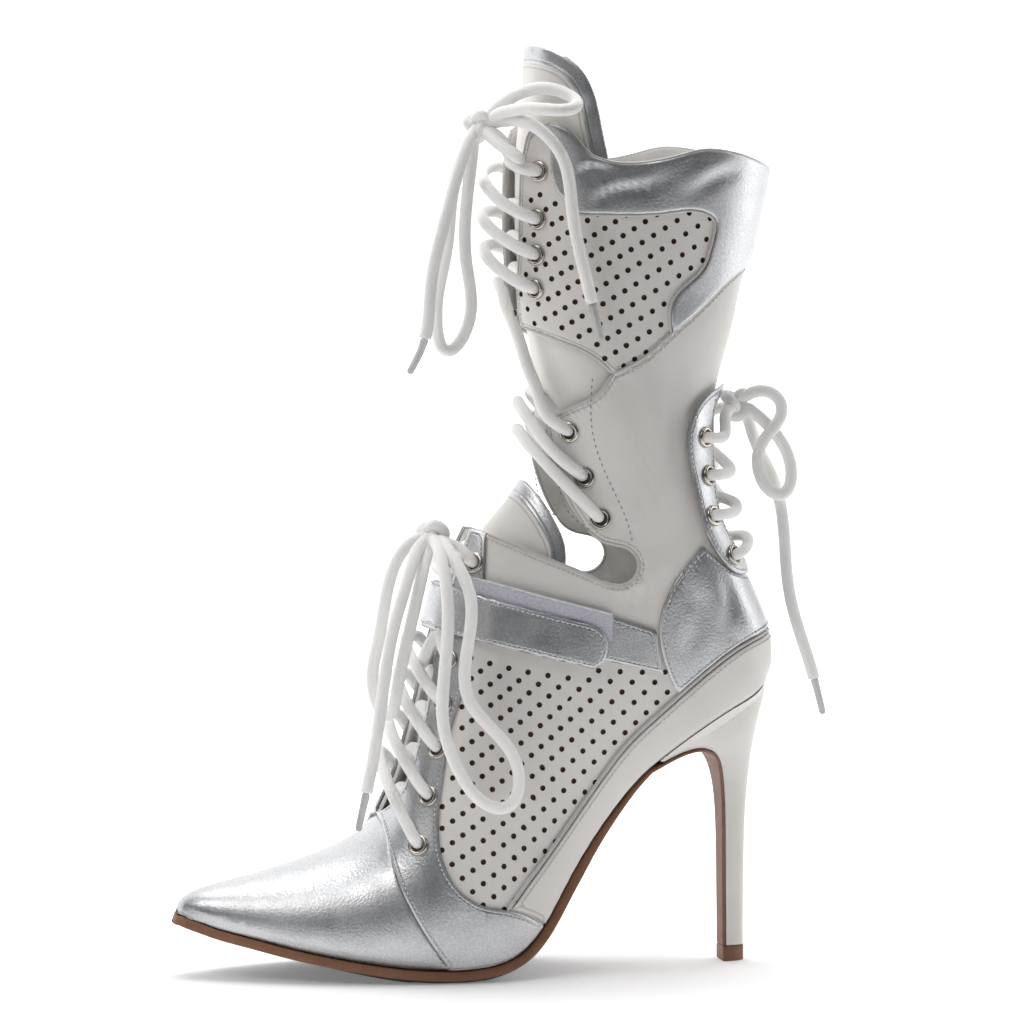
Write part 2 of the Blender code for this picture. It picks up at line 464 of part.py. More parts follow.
def to_back(part):
    """A border that ends on the line down the boot's back."""
    part = part.copy()
    part[-1, 1] = np.pi
    return part


def from_ridge(part):
    """A border that starts on the boot's front ridge."""
    part = part.copy()
    part[0, 1] = 0.0
    return part


def beside(points, dx, dz):
    """A side view border moved aside, in its own units."""
    return [(x + dx, z + dz) for x, z in points]


S_SCALE, T_SCALE = 0.013, 0.026  # metres for one section and for one radian, about

THROAT_LINE = from_ridge(border(THROAT, STEP * 0.8))
TAB_LINE = border(TAB_TOP)
RIM_LINE = to_back(border(COLLAR_RIM, STEP * 0.9))
VAMP_LINE = to_edge(np.vstack([THROAT_LINE[:1], border(VAMP_SEAM)[1:]]))
WING_LINE = to_edge(border(WING_SEAM))
WING_REAR_LINE = border(WING_REAR)
FOXING_TOP = to_back(border([FOXING_CORNER, *beside(PIPING[1:], PANEL_ROOM, -PANEL_ROOM)]))
FOXING_FRONT = to_edge(border([FOXING_CORNER, *beside(WING_SEAM[1:], PANEL_ROOM, PANEL_ROOM)]))
COUNTER_LOW = to_back(border(beside(PIPING[PIPING.index(COUNTER_AT) :], 0.0, PANEL_ROOM)))
COUNTER_LINE = np.vstack([COUNTER_LOW[:1], border(COUNTER_FRONT)[1:]])
COUNTER_TOP_LINE = to_back(border(COUNTER_TOP))
COLLAR_FRONT_LINE = border(COLLAR_FRONT)
COLLAR_LOW_LINE = border(COLLAR_LOW)
SHAFT_LINE = to_back(border(SHAFT_SEAM))
EDGE_END = SEAT_END + EDGE_PAST
SEAMS = [
    VAMP_LINE, WING_LINE, WING_REAR_LINE, FOXING_TOP, FOXING_FRONT, COUNTER_LOW, COUNTER_LINE, COUNTER_TOP_LINE,
    COLLAR_FRONT_LINE, COLLAR_LOW_LINE, SHAFT_LINE,
    panel_edge(VAMP_LINE[-1, 0], WING_LINE[-1, 0]),
    panel_edge(FOXING_FRONT[-1, 0], EDGE_END),
]


def lattice(step, lines=()):
    """Points all over half the surface, about step apart, away from the lines."""
    found, s = [], 0.5
    while s < LAST:
        ring = surface(s, np.linspace(0, np.pi, 60), -1)
        round_it = float(np.linalg.norm(np.diff(ring, axis=0), axis=1).sum())
        count = max(3, math.ceil(round_it / step))
        found += [(s, np.pi * k / count) for k in range(1, count)]
        row, after = SECTION_AT(s)[0], SECTION_AT(min(s + 0.1, LAST))[0]
        far = max(np.linalg.norm(after[0:2] - row[0:2]), np.linalg.norm(after[2:4] - row[2:4]))
        s += min(0.1 * step / max(float(far), 1e-9), 1.0) * 1.15
    points = np.array(found)
    for line in lines:
        near = distance_to_line(points * (S_SCALE, T_SCALE), line * (S_SCALE, T_SCALE))
        points = points[near > CLEAR_SHARE * step]
    return points


LATTICE = lattice(STEP, SEAMS)
COARSE = lattice(TONGUE_STEP)


def unique_loop(parts):
    """Border parts joined end to end into one loop, without repeated points."""
    loop = np.vstack(parts)
    scaled = loop * (S_SCALE, T_SCALE)
    keep = [0]
    for i in range(1, len(loop)):
        if np.linalg.norm(scaled[i] - scaled[keep[-1]]) > 2e-4:
            keep.append(i)
    if np.linalg.norm(scaled[keep[-1]] - scaled[keep[0]]) < 2e-4:
        keep.pop()
    return loop[keep]


def triangulated(loop, seams=(), points=LATTICE, step=STEP):
    """(s, t) points and triangles that fill a loop on half the surface and follow the seams inside it."""
    scale = np.array([S_SCALE, T_SCALE])
    outline = loop * scale
    points = points * scale
    points = points[inside(points, outline)]
    closed = np.vstack([outline, outline[:1]])
    points = points[distance_to_line(points, closed) > CLEAR_SHARE * step]
    every, edges = [outline], []
    count = len(outline)
    for seam in seams:
        every.append(seam * scale)
        edges += [(count + i, count + i + 1) for i in range(len(seam) - 1)]
        count += len(seam)
    every = [Vector(p) for p in np.vstack([*every, points])]
    verts, _, faces, *_ = delaunay_2d_cdt(every, edges, [list(range(len(outline)))], 1, 1e-6)
    flat = np.array([tuple(v) for v in verts]) / scale
    for column, value in ((0, 0.0), (1, 0.0), (1, np.pi)):
        flat[np.abs(flat[:, column] - value) < SNAP, column] = value
    return flat, [tuple(f) for f in faces]


def made(name, points, faces, material):
    """An object from points and faces, with its doubles merged and its normals pointing out."""
    mesh = bpy.data.meshes.new(name)
    mesh.from_pydata([tuple(p) for p in points], [], [tuple(f) for f in faces])
    work = bmesh.new()
    work.from_mesh(mesh)
    bmesh.ops.remove_doubles(work, verts=work.verts, dist=2e-6)
    bmesh.ops.dissolve_degenerate(work, edges=work.edges, dist=1e-6)
    bmesh.ops.triangulate(work, faces=work.faces)
    bmesh.ops.recalc_face_normals(work, faces=work.faces)
    work.to_mesh(mesh)
    work.free()
    mesh.shade_smooth()
    mesh.set_sharp_from_angle(angle=math.radians(40))
    mesh.materials.append(material)
    thing = bpy.data.objects.new(name, mesh)
    bpy.context.scene.collection.objects.link(thing)
    return thing


def sheet(name, loop, low, high, material, sides=(-1, 1), sink=0.0, seams=(), points=LATTICE, step=STEP):
    """A piece between two offsets of the upper's own surface, inside a loop, on one side or both."""
    flat, faces = triangulated(loop, seams, points, step)
    points, triangles, count = [], [], len(flat)
    for k, side in enumerate(sides):
        drop = sink * np.maximum(np.cos(flat[:, 1]), 0) ** 4
        for off in (high, low):
            points.append(offset_point(flat[:, 0], flat[:, 1], float(side), off - drop))
    points = np.vstack(points)
    tip = flat[:, 0] == 0
    shared = (flat[:, 1] == 0) | tip | ((flat[:, 1] == np.pi) & (floor_share(flat[:, 0]) <= 0))
    own = np.where(tip, int(np.argmin(flat[:, 0])), np.arange(count))
    twin = np.concatenate([own + k * count for k in range(2 * len(sides))])
    for k in range(1, len(sides)):
        for layer in (0, 1):
            there = (2 * k + layer) * count + np.flatnonzero(shared)
            twin[there] = own[shared] + layer * count
    points = points[twin]
    uses = {}
    for k in range(len(sides)):
        for f in faces:
            outer = [2 * k * count + i for i in f]
            triangles.append(outer)
            triangles.append([i + count for i in outer][::-1])
            for a, b in zip(outer, outer[1:] + outer[:1], strict=True):
                uses.setdefault(tuple(sorted((twin[a], twin[b]))), []).append((a, b))
    for (p, q), edges in uses.items():
        if len(edges) == 1 and p != q:
            a, b = edges[0]
            triangles.append([b, a, a + count, b + count])
    return made(name, points, triangles, material)


def material(name, colour, roughness, metallic=0.0):
    """A plain surface from an sRGB hex colour."""
    new = bpy.data.materials.new(name)
    new.use_nodes = True
    parts = [int(colour[i : i + 2], 16) / 255 for i in (0, 2, 4)]
    linear = [p / 12.92 if p <= 0.04045 else ((p + 0.055) / 1.055) ** 2.4 for p in parts]
    shader = new.node_tree.nodes["Principled BSDF"]
    shader.inputs["Base Color"].default_value = (*linear, 1)
    shader.inputs["Roughness"].default_value = roughness
    shader.inputs["Metallic"].default_value = metallic
    return new


BACK_STOPS = [COUNTER_TOP_LINE[-1, 0], COUNTER_LOW[-1, 0], FOXING_TOP[-1, 0], EDGE_END]


def back_line(stops):
    """The line down the boot's back, in stretches between the panels' ends."""
    return [along_edge(a, b, np.pi) for a, b in zip(stops, stops[1:], strict=False)]


def upper(white):
    """The hollow upper: vamp, quarters and shaft in one wall."""
    slit = border(REAR_SLIT, STEP / 2)
    slit[0, 1] = slit[-1, 1] = np.pi
    loop = unique_loop([
        along_edge(0.02, THROAT_LINE[0, 0], 0.0),
        THROAT_LINE,
        TAB_LINE,
        border(INSTEP_TOP),
        border(ANKLE_CUT, STEP / 2),
        border(LOWER_FLAP),
        border(WINDOW_LOW),
        border(WINDOW_TOP),
        border(UPPER_FLAP),
        border(FLAP_TOP),
        RIM_LINE,
        along_edge(RIM_LINE[-1, 0], SHAFT_LINE[-1, 0], np.pi),
        along_edge(SHAFT_LINE[-1, 0], slit[0, 0], np.pi),
        slit,
        *back_line([slit[-1, 0], *BACK_STOPS, SEAT_END]),
        np.column_stack([SOLE_ROWS[::-1], np.full(len(SOLE_ROWS), np.pi)]),
        np.array([[0.0, np.pi], [0.0, np.pi / 2], [0.0, 0.0]]),
    ])
    sheet("upper", loop, -WALL, 0.0, white, seams=SEAMS)


LAYER = GAP + OVERLAY  # how far one sewn panel stands out


def eyestay(name, side, silver):
    """The lacing panel on one side, with the wing that runs down to the sole."""
    loop = unique_loop([
        VAMP_LINE[::-1],
        THROAT_LINE,
        TAB_LINE,
        WING_REAR_LINE[::-1],
        WING_LINE,
        panel_edge(VAMP_LINE[-1, 0], WING_LINE[-1, 0])[::-1],
    ])
    sheet(name, loop, GAP, LAYER, silver, sides=(side,))


def foxing(white):
    """The plain band between the piping and the sole, round the heel."""
    loop = unique_loop([
        FOXING_FRONT[::-1],
        FOXING_TOP,
        along_edge(FOXING_TOP[-1, 0], EDGE_END, np.pi),
        panel_edge(FOXING_FRONT[-1, 0], EDGE_END)[::-1],
    ])
    sheet("foxing", loop, GAP, LAYER, white)


def counter(silver):
    """The heel counter, from the piping up to the rear lacing."""
    loop = unique_loop([
        COUNTER_LINE,
        COUNTER_TOP_LINE,
        along_edge(COUNTER_TOP_LINE[-1, 0], COUNTER_LOW[-1, 0], np.pi),
        COUNTER_LOW[::-1],
    ])
    sheet("counter", loop, GAP, LAYER, silver)


def collar(silver):
    """The metallic panel round the top of the shaft."""
    loop = unique_loop([
        COLLAR_FRONT_LINE,
        COLLAR_LOW_LINE,
        SHAFT_LINE,
        along_edge(SHAFT_LINE[-1, 0], RIM_LINE[-1, 0], np.pi),
        RIM_LINE[::-1],
    ])
    sheet("collar", loop, GAP, LAYER, silver)


def rear_eyestay(name, side, silver):
    """The lacing panel beside the slit behind the ankle, over the counter's top."""
    loop = unique_loop([border(REAR_STAY, STEP / 2), border(beside(REAR_SLIT, -SLIT_ROOM, 0.0), STEP / 2)[::-1]])
    low = LAYER + LOOSE
    sheet(name, loop, low, low + OVERLAY, silver, sides=(side,))


def ankle_band(name, side, silver):
    """The band between the strap's end and the counter."""
    loop = unique_loop([border([a, b]) for a, b in zip(BAND, BAND[1:] + BAND[:1], strict=True)])
    sheet(name, loop, LOOSE, LOOSE + OVERLAY, silver, sides=(side,))


STRAP_LOW_OFF = LOOSE + OVERLAY + LOOSE  # the strap's inner face, over the ankle bands


def strap(silver):
    """The ankle strap, round the front over the laces."""
    low = from_ridge(border(STRAP_LOW, STEP / 2.5))
    top = from_ridge(border(STRAP_TOP, STEP / 2.5)[::-1])[::-1]
    loop = unique_loop([low, border(STRAP_END, STEP / 2), top, along_edge(top[-1, 0], low[0, 0], 0.0)])
    sheet("ankle_strap", loop, STRAP_LOW_OFF, STRAP_LOW_OFF + STRAP_WALL, silver)


def loop_tape(lilac):
    """The fastening tape that shows above the strap on the lateral side."""
    sides = [TAPE_LOW, [TAPE_LOW[-1], TAPE_TOP[0]], TAPE_TOP, [TAPE_TOP[-1], TAPE_LOW[0]]]
    low = LAYER + LOOSE
    sheet("loop_tape", unique_loop([border(line) for line in sides]), low, low + TAPE_WALL, lilac, sides=(-1,))


def tongue(name, top, side, foot, white):
    """A padded tongue behind the laces, flatter than the boot's front."""
    first = from_ridge(border(top, TONGUE_STEP))
    last = from_ridge(border(foot, TONGUE_STEP)[::-1])[::-1]
    ridge = along_edge(last[-1, 0], first[0, 0], 0.0, TONGUE_STEP)
    loop = unique_loop([first, border(side, TONGUE_STEP), last, ridge])
    high = -WALL - TONGUE_CLEAR
    sheet(name, loop, high - TONGUE_WALL, high, white, sink=TONGUE_SINK, points=COARSE, step=TONGUE_STEP)


def seam_line():
    """The line on which the sole lies against the upper and then the heel, from the toe to the tip.

    Each row has the side view place, the half widths, lateral and medial, and the middle's y.
    """
    s = np.concatenate([[0.0], SOLE_ROWS[1:][SOLE_ROWS[1:] < SEAT_START - 0.2], [SEAT_START]])
    row = SECTION_AT(s)
    share = floor_share(s)
    upper_rows = np.column_stack([row[:, 2:4], row[:, 4] * share, row[:, 5] * share, row[:, 6]])
    rings = heel_rings()
    zero = np.zeros(len(rings))
    heel_rows = np.column_stack([rings[:, 0:2], rings[:, 4], rings[:, 4], zero])
    return np.vstack([upper_rows, heel_rows])


def heel_rings():
    """The heel's sections in metres: front, back and half width."""
    table = np.array(HEEL)
    rows = np.column_stack([side_view(table[:, 0:2]), side_view(table[:, 2:4]), table[:, 4] * BALL_WIDTH / 100])
    knots = np.arange(len(rows), dtype=float)
    rings = smooth(knots, rows)(np.linspace(0, knots[-1], HEEL_RINGS))
    rings[-1, [1, 3]] = TIP_HEIGHT
    return rings


def across(line):
    """Unit directions at right angles to a side view line, to its right."""
    along = np.gradient(line, axis=0)
    along /= np.linalg.norm(along, axis=1, keepdims=True)
    return np.column_stack([along[:, 1], -along[:, 0]])


def outsole(brown):
    """The sole: under the forefoot and the arch, then down the front of the heel."""
    rows = seam_line()
    line, down = rows[:, 0:2], across(rows[:, 0:2])
    flat_toe = int(np.argmax(line[:, 0] > line[0, 0] + TOE_FLAT))
    down[:flat_toe] = down[flat_toe]
    run = np.concatenate([[0], np.cumsum(np.linalg.norm(np.diff(line, axis=0), axis=1))])
    waist = run[-HEEL_RINGS - WAIST_ROWS]
    thin = np.clip((run - waist) / (run[-HEEL_RINGS] - waist), 0, 1)
    thick = SOLE_THICKNESS + (BREAST_THICKNESS - SOLE_THICKNESS) * thin
    off = np.abs(line[:, 0] * 100 / HALF_LENGTH - BELLY_AT) / BELLY_REACH
    belly = SOLE_BELLY * np.cos(np.clip(off, 0, 1) * np.pi / 2) ** 2
    edge = SOLE_EDGE * np.clip((run[-1] - run) / (run[-1] - waist), BREAST_EDGE, 1)
    sides = []
    for side, k in ((-1, 2), (1, 3)):
        half = rows[:, k]
        turn = np.column_stack([np.gradient(half), np.gradient(run)])
        turn /= np.linalg.norm(turn, axis=1, keepdims=True)
        inset = np.minimum(SOLE_ROUND, half * ROUND_SHARE)
        for deep, grow in ((0 * thick, edge * TOP_EDGE), (thick, edge), (thick + belly, edge - inset)):
            at = np.minimum(run - grow * turn[:, 0], run[-1])
            y = rows[:, 4] + side * (half + grow * turn[:, 1])
            y[0] = rows[0, 4]
            face = line + down * (GAP + deep)[:, None]
            slope = (face[1] - face[0]) / run[1]
            x = np.where(at < 0, face[0, 0] + slope[0] * at, np.interp(at, run, face[:, 0]))
            z = np.where(at < 0, face[0, 1] + slope[1] * at, np.interp(at, run, face[:, 1]))
            sides.append(np.column_stack([x, y, np.maximum(z, 0)]))
    ring = [*sides[:3], *sides[3:][::-1]]
    count, faces = len(rows), []
    for k in range(6):
        a, b = k * count, (k + 1) % 6 * count
        faces += [[a + i, a + i + 1, b + i + 1, b + i] for i in range(count - 1)]
    faces.append([k * count + count - 1 for k in range(6)])
    faces.append([k * count for k in range(6)][::-1])
    made("outsole", np.vstack(ring), faces, brown)


def heel(white):
    """The slender covered heel, from the seat down to the tip."""
    u = np.sin(np.linspace(0, np.pi / 2, HEEL_SIDE)) ** HEEL_EVEN
    s = SEAT_START + HEEL_LEAD + (SEAT_END - SEAT_START - HEEL_LEAD) * u
    row = SECTION_AT(s)
    seat = row[:, 2:4] + across(row[:, 2:4]) * GAP
    share = floor_share(s)
    rings = [[np.column_stack([seat[:, 0], side * row[:, k] * share, seat[:, 1]]) for side, k in ((-1, 4), (1, 5))]]
    round_off = (1 - u**HEEL_ROUND) ** (1 / HEEL_ROUND)
    for ring in heel_rings():
        flat = ring[0:2] + (ring[2:4] - ring[0:2]) * u[:, None]
        rings.append([np.column_stack([flat[:, 0], side * ring[4] * round_off, flat[:, 1]]) for side in (-1, 1)])
    points = np.vstack([np.vstack([left, right[::-1]]) for left, right in rings])
    size = 2 * HEEL_SIDE
    faces = []
    for r in range(len(rings) - 1):
        for i in range(size):
            a, b = r * size + i, r * size + (i + 1) % size
            faces.append([a, b, b + size, a + size])
    for first in (0, (len(rings) - 1) * size):
        for i in range(HEEL_SIDE - 1):
            faces.append([first + i, first + i + 1, first + size - 2 - i, first + size - 1 - i])
    made("heel", points, faces, white)


def heel_tip(brown):
    """The top piece that the heel stands on."""
    last = heel_rings()[-1]
    u = np.sin(np.linspace(0, np.pi / 2, HEEL_SIDE)) ** HEEL_EVEN
    front = last[0] - GAP - BREAST_THICKNESS
    half = (last[4] + TIP_EDGE) * (1 - u**HEEL_ROUND) ** (1 / HEEL_ROUND)
    x = front + (last[2] + TIP_EDGE - front) * u
    outline = np.vstack([np.column_stack([x, -half]), np.column_stack([x, half])[::-1]])
    count = len(outline)
    points = [(*p, z) for z in (0.0, TIP_HEIGHT - GAP) for p in outline]
    faces = [[i, (i + 1) % count, (i + 1) % count + count, i + count] for i in range(count)]
    faces += [list(range(count))[::-1], list(range(count, 2 * count))]
    made("heel_tip", points, faces, brown)


def insole(beige):
    """The sock on which the foot stands, inside the wall."""
    s = np.linspace(INSOLE_START, SEAT_END - INSOLE_STOP, INSOLE_ROWS)
    row, share = SECTION_AT(s), floor_share(s)
    up = -across(row[:, 2:4])
    points = []
    for high in (0.0, INSOLE_THICKNESS):
        face = row[:, 2:4] + up * high
        for side, k in ((-1, 4), (1, 5)):
            half = np.maximum(row[:, k] * share - WALL - INSOLE_ROOM, GAP)
            points.append(np.column_stack([face[:, 0], row[:, 6] + side * half, face[:, 1]]))
    ring = [points[0], points[1], points[3], points[2]]
    count, faces = len(s), []
    for k in range(4):
        a, b = k * count, (k + 1) % 4 * count
        faces += [[a + i, a + i + 1, b + i + 1, b + i] for i in range(count - 1)]
    faces.append([k * count + count - 1 for k in range(4)])
    faces.append([k * count for k in range(4)][::-1])
    made("insole", np.vstack(ring), faces, beige)


def place(s, t, off):
    """One point off the surface, where a t below zero is on the medial side."""
    return offset_point(np.array([s]), np.array([abs(t)]), 1.0 if t < 0 else -1.0, np.array([off]))[0]


def normal_at(s, t):
    return outward(np.array([s]), np.array([abs(t)]), 1.0 if t < 0 else -1.0)[0]


def both_sides(table):
    """Side view places as (s, t) on the lateral and on the medial side."""
    lateral = to_surface(side_view(table))
    return lateral, lateral * (1, -1)


def tube(path, radius):
    """Points and faces of a round solid along a path."""
    path = np.asarray(path, float)
    along = np.gradient(path, axis=0)
    along /= np.linalg.norm(along, axis=1, keepdims=True)
    across_it = np.cross(along[0], [0.3, 0.5, 0.81])
    points, faces = [], []
    angles = 2 * np.pi * np.arange(LACE_SIDES) / LACE_SIDES
    for at, way in zip(path, along, strict=True):
        across_it -= way * np.dot(across_it, way)
        across_it /= np.linalg.norm(across_it)
        third = np.cross(way, across_it)
        points += [at + radius * (np.cos(a) * across_it + np.sin(a) * third) for a in angles]
    n = LACE_SIDES
    for r in range(len(path) - 1):
        faces += [[r * n + k, r * n + (k + 1) % n, (r + 1) * n + (k + 1) % n, (r + 1) * n + k] for k in range(n)]
    faces += [list(range(n))[::-1], [(len(path) - 1) * n + k for k in range(n)]]
    return np.array(points), faces


def ball(middle, half):
    """Points and faces of a small rounded solid."""
    points, faces, rings, n = [], [], 4, LACE_SIDES
    for k in range(1, rings):
        high = np.pi * k / rings
        for a in 2 * np.pi * np.arange(n) / n:
            points.append((np.sin(high) * np.cos(a), np.sin(high) * np.sin(a), np.cos(high)))
    points += [(0, 0, 1), (0, 0, -1)]
    top, bottom = len(points) - 2, len(points) - 1
    for k in range(n):
        after = (k + 1) % n
        faces += [[top, k, after], [bottom, (rings - 2) * n + after, (rings - 2) * n + k]]
        faces += [[r * n + k, (r + 1) * n + k, (r + 1) * n + after, r * n + after] for r in range(rings - 2)]
    return np.array(points) * half + middle, faces


def joined(name, solids, material):
    """Solids that cross, joined into one."""
    things = [made(f"{name}_{i}", points, faces, material) for i, (points, faces) in enumerate(solids)]
    first, others = things[0], bpy.data.collections.new(name)
    for thing in things[1:]:
        others.objects.link(thing)
    join = first.modifiers.new("join", "BOOLEAN")
    join.operation, join.operand_type, join.solver = "UNION", "COLLECTION", "EXACT"
    join.collection = others
    bpy.context.view_layer.update()
    mesh = bpy.data.meshes.new_from_object(first.evaluated_get(bpy.context.evaluated_depsgraph_get()))
    points = [tuple(v.co) for v in mesh.vertices]
    faces = [tuple(f.vertices) for f in mesh.polygons]
    for thing in things:
        bpy.data.objects.remove(thing)
    bpy.data.collections.remove(others)
    made(name, points, faces, material)


def eyelet(name, s, t, seat, nickel):
    """A metal eyelet on a face that stands out from the surface by seat."""
    normal = normal_at(s, t)
    middle = place(s, t, seat + GAP)
    right = np.cross(normal, [0.0, 0.0, 1.0])
    right /= np.linalg.norm(right)
    up = np.cross(right, normal)
    profile = [(EYELET_INNER / 2, 0.0), (EYELET_OUTER / 2, 0.0), ((EYELET_INNER + EYELET_OUTER) / 4, EYELET_RISE)]
    points, faces, count = [], [], len(profile)
    for k in range(EYELET_SIDES):
        a = 2 * np.pi * k / EYELET_SIDES
        away = np.cos(a) * right + np.sin(a) * up
        points += [middle + away * far + normal * high for far, high in profile]
        b = (k + 1) % EYELET_SIDES
        for i in range(count):
            j = (i + 1) % count
            faces.append([k * count + i, k * count + j, b * count + j, b * count + i])
    made(name, points, faces, nickel)


def clear_height(seat):
    """How far off the surface a lace's middle passes over its own eyelet."""
    return seat + GAP + EYELET_RISE + LACE_ROOM + LACE / 2


def over(a, b, seat, arch=0.0, spread=0.0):
    """The points between two eyelets of a lace that follows the surface."""
    high = clear_height(seat)
    far = float(np.linalg.norm(place(*a, high) - place(*b, high)))
    count = max(3, math.ceil(far / LACE_STEP))
    found = []
    for k in range(1, count):
        f = k / count
        s, t = a + (b - a) * f
        s += spread * math.sin(2 * math.pi * f)
        found.append(place(s, t, high + arch * math.sin(math.pi * f)))
    return found


def towards(knot, point):
    """The end of a lace that runs from a point to a knot."""
    knot = np.array(knot) * MM
    away = point - knot
    return knot + away / np.linalg.norm(away) * KNOT_ROOM


def ridge_section(z):
    """The section whose front lies at a height of the side view."""
    return float(np.interp(float(height(z)), GRID_ROWS[:, 1], GRID))


def instep_lace(white):
    """The crossings over the instep, the last of them under the ankle strap."""
    left, right = both_sides(INSTEP_EYELETS)
    high = clear_height(LAYER)
    last = len(left) - 1
    path = []
    for i in range(last):
        path += [place(*right[i], high), *over(right[i], left[i], LAYER, 0.0, LACE_SPREAD), place(*left[i], high)]
        if i < last - 1:
            path += over(left[i], right[i + 1], LAYER, LACE_ARCH, LACE_SPREAD)
    for z, share, off in UNDER_STRAP:
        s = ridge_section(z)
        edge = float(np.interp(s, THROAT_LINE[:, 0], THROAT_LINE[:, 1]))
        path.append(place(s, edge * share, off * MM))
    path.append(place(*right[last], high))
    path.append(towards(INSTEP_KNOT, path[-1]))
    made("instep_lace", *tube(path, LACE / 2), white)


def passing(table, row, side, up, high):
    """Where a lace passes a flap's edge beside one row, up or down of the row by so much."""
    x, z = table[row]
    s, t = to_surface(side_view([(x, z + up)]))[0]
    return place(s, t * side, high)


def between(table, a, b, high, bulge):
    """The points of a lace that leaves one edge at a, (row, side, up), and meets the other at b."""
    a, b = passing(table, *a, high), passing(table, *b, high)
    return [a, (a + b) / 2 + (bulge, 0, 0), b]


def shaft_lace(white):
    """The crossings up the front of the shaft, with the long one over the window."""
    left, right = both_sides(LOWER_EYELETS[::-1] + UPPER_EYELETS)
    edges, bulges = LOWER_EDGE[::-1], LOWER_BULGE
    low, last, high = len(LOWER_EYELETS), len(left) - 1, clear_height(0.0)
    up = EDGE_SPREAD
    path = []
    for i in range(last):
        path.append(place(*right[i], high))
        if i < low:
            path += between(edges, (i, -1, up), (i, 1, -up), high, -bulges[i])
        else:
            path += over(right[i], left[i], 0.0, 0.0, LACE_SPREAD)
        path.append(place(*left[i], high))
        if i < low - 1:
            path += between(edges, (i, 1, up), (i + 1, -1, -up), high, -bulges[i + 1])
        else:
            path += over(left[i], right[i + 1], 0.0, LACE_ARCH, LACE_SPREAD if i >= low else 0.0)
    path.append(place(*right[last], high))
    path.append(towards(SHAFT_KNOT, path[-1]))
    made("shaft_lace", *tube(path, LACE / 2), white)


def rear_lace(white):
    """The crossings over the slit behind the ankle, down from the knot and up to it again."""
    table, edges = REAR_EYELETS[::-1], REAR_EDGE[::-1]
    places = dict(zip((1, -1), both_sides(table), strict=True))
    high = clear_height(LAYER + LOOSE + OVERLAY)
    top = len(table) - 1
    order = [(row, 1 if (top - row) % 2 == 0 else -1) for row in range(top, -1, -1)]
    order += [(row, -side) for row, side in order[::-1]]
    path = [None]
    for k, (row, side) in enumerate(order):
        if k:
            before, other = order[k - 1]
            turn = -1 if k <= top else 1
            apart = 0.0 if row == before else -turn * (LACE + GAP) / 2
            up = 0.0 if row == before else turn * EDGE_SPREAD
            path += between(edges, (before, other, up), (row, side, -up), high, REAR_BULGE + apart)
        path.append(place(*places[side][row], high))
    path[0] = towards(REAR_KNOT, path[1])
    path.append(towards(REAR_KNOT, path[-1]))
    made("rear_lace", *tube(path, LACE / 2), white)


def bow(name, knot, ends, white):
    """A bow's knot with its loops and ends."""
    knot = np.array(knot) * MM
    solids = [ball(knot, KNOT_HALF)]
    for points in ends:
        points = np.array(points) * MM
        start = [knot + (points[0] - knot) * KNOT_SINK]
        solids.append(tube(np.vstack([start, points]), LACE / 2))
    joined(name, solids, white)


def main():
    for thing in list(bpy.data.objects):
        bpy.data.objects.remove(thing)
    white = material("white_leather", "EFEDE9", 0.45)
    silver = material("silver_foil_leather", "C9CBD0", 0.35, 0.8)
    brown = material("brown_sole", "7F5843", 0.6)
    lilac = material("loop_tape", "B9B8C8", 0.8)
    beige = material("sock_lining", "E8E4DE", 0.7)
    outsole(brown)
    heel(white)
    heel_tip(brown)
    insole(beige)
    upper(white)
    tongue("instep_tongue", TONGUE_TOP_INSTEP, TONGUE_SIDE_INSTEP, TONGUE_FOOT_INSTEP, white)
    tongue("shaft_tongue", TONGUE_TOP_SHAFT, TONGUE_SIDE_SHAFT, TONGUE_FOOT_SHAFT, white)
    foxing(white)
    counter(silver)
    collar(silver)
    strap(silver)
    loop_tape(lilac)
    for word, side in (("lateral", -1), ("medial", 1)):
        eyestay(f"eyestay_{word}", side, silver)
        rear_eyestay(f"rear_eyestay_{word}", side, silver)
        ankle_band(f"ankle_band_{word}", side, silver)
    nickel = material("nickel", "C9C7C2", 0.2, 1.0)
    lace = material("lace", "F2F1EF", 0.8)
    rows = [("instep", INSTEP_EYELETS, LAYER), ("lower", LOWER_EYELETS, 0.0), ("upper", UPPER_EYELETS, 0.0),
            ("rear", REAR_EYELETS, LAYER + LOOSE + OVERLAY)]
    for row, table, seat in rows:
        for word, places in zip(("lateral", "medial"), both_sides(table), strict=True):
            for i, (s, t) in enumerate(places, 1):
                eyelet(f"{row}_eyelet_{word}_{i}", s, t, seat, nickel)
    instep_lace(lace)
    shaft_lace(lace)
    rear_lace(lace)
    bow("instep_lace_bow", INSTEP_KNOT, INSTEP_BOW, lace)
    bow("shaft_lace_bow", SHAFT_KNOT, SHAFT_BOW, lace)
    bow("rear_lace_bow", REAR_KNOT, REAR_BOW, lace)


main()
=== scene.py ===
"""Dresses the heeled boot: leather, foil, perforations, stitches, laces and bows, and the stage."""

import math

import bmesh
import bpy
import numpy as np
from bpy.props import FloatProperty, FloatVectorProperty, PointerProperty
from bpy.types import Operator, Panel, PropertyGroup
from mathutils import Matrix, Vector
from mathutils.geometry import delaunay_2d_cdt
from mathutils.kdtree import KDTree
from numpy.linalg import norm


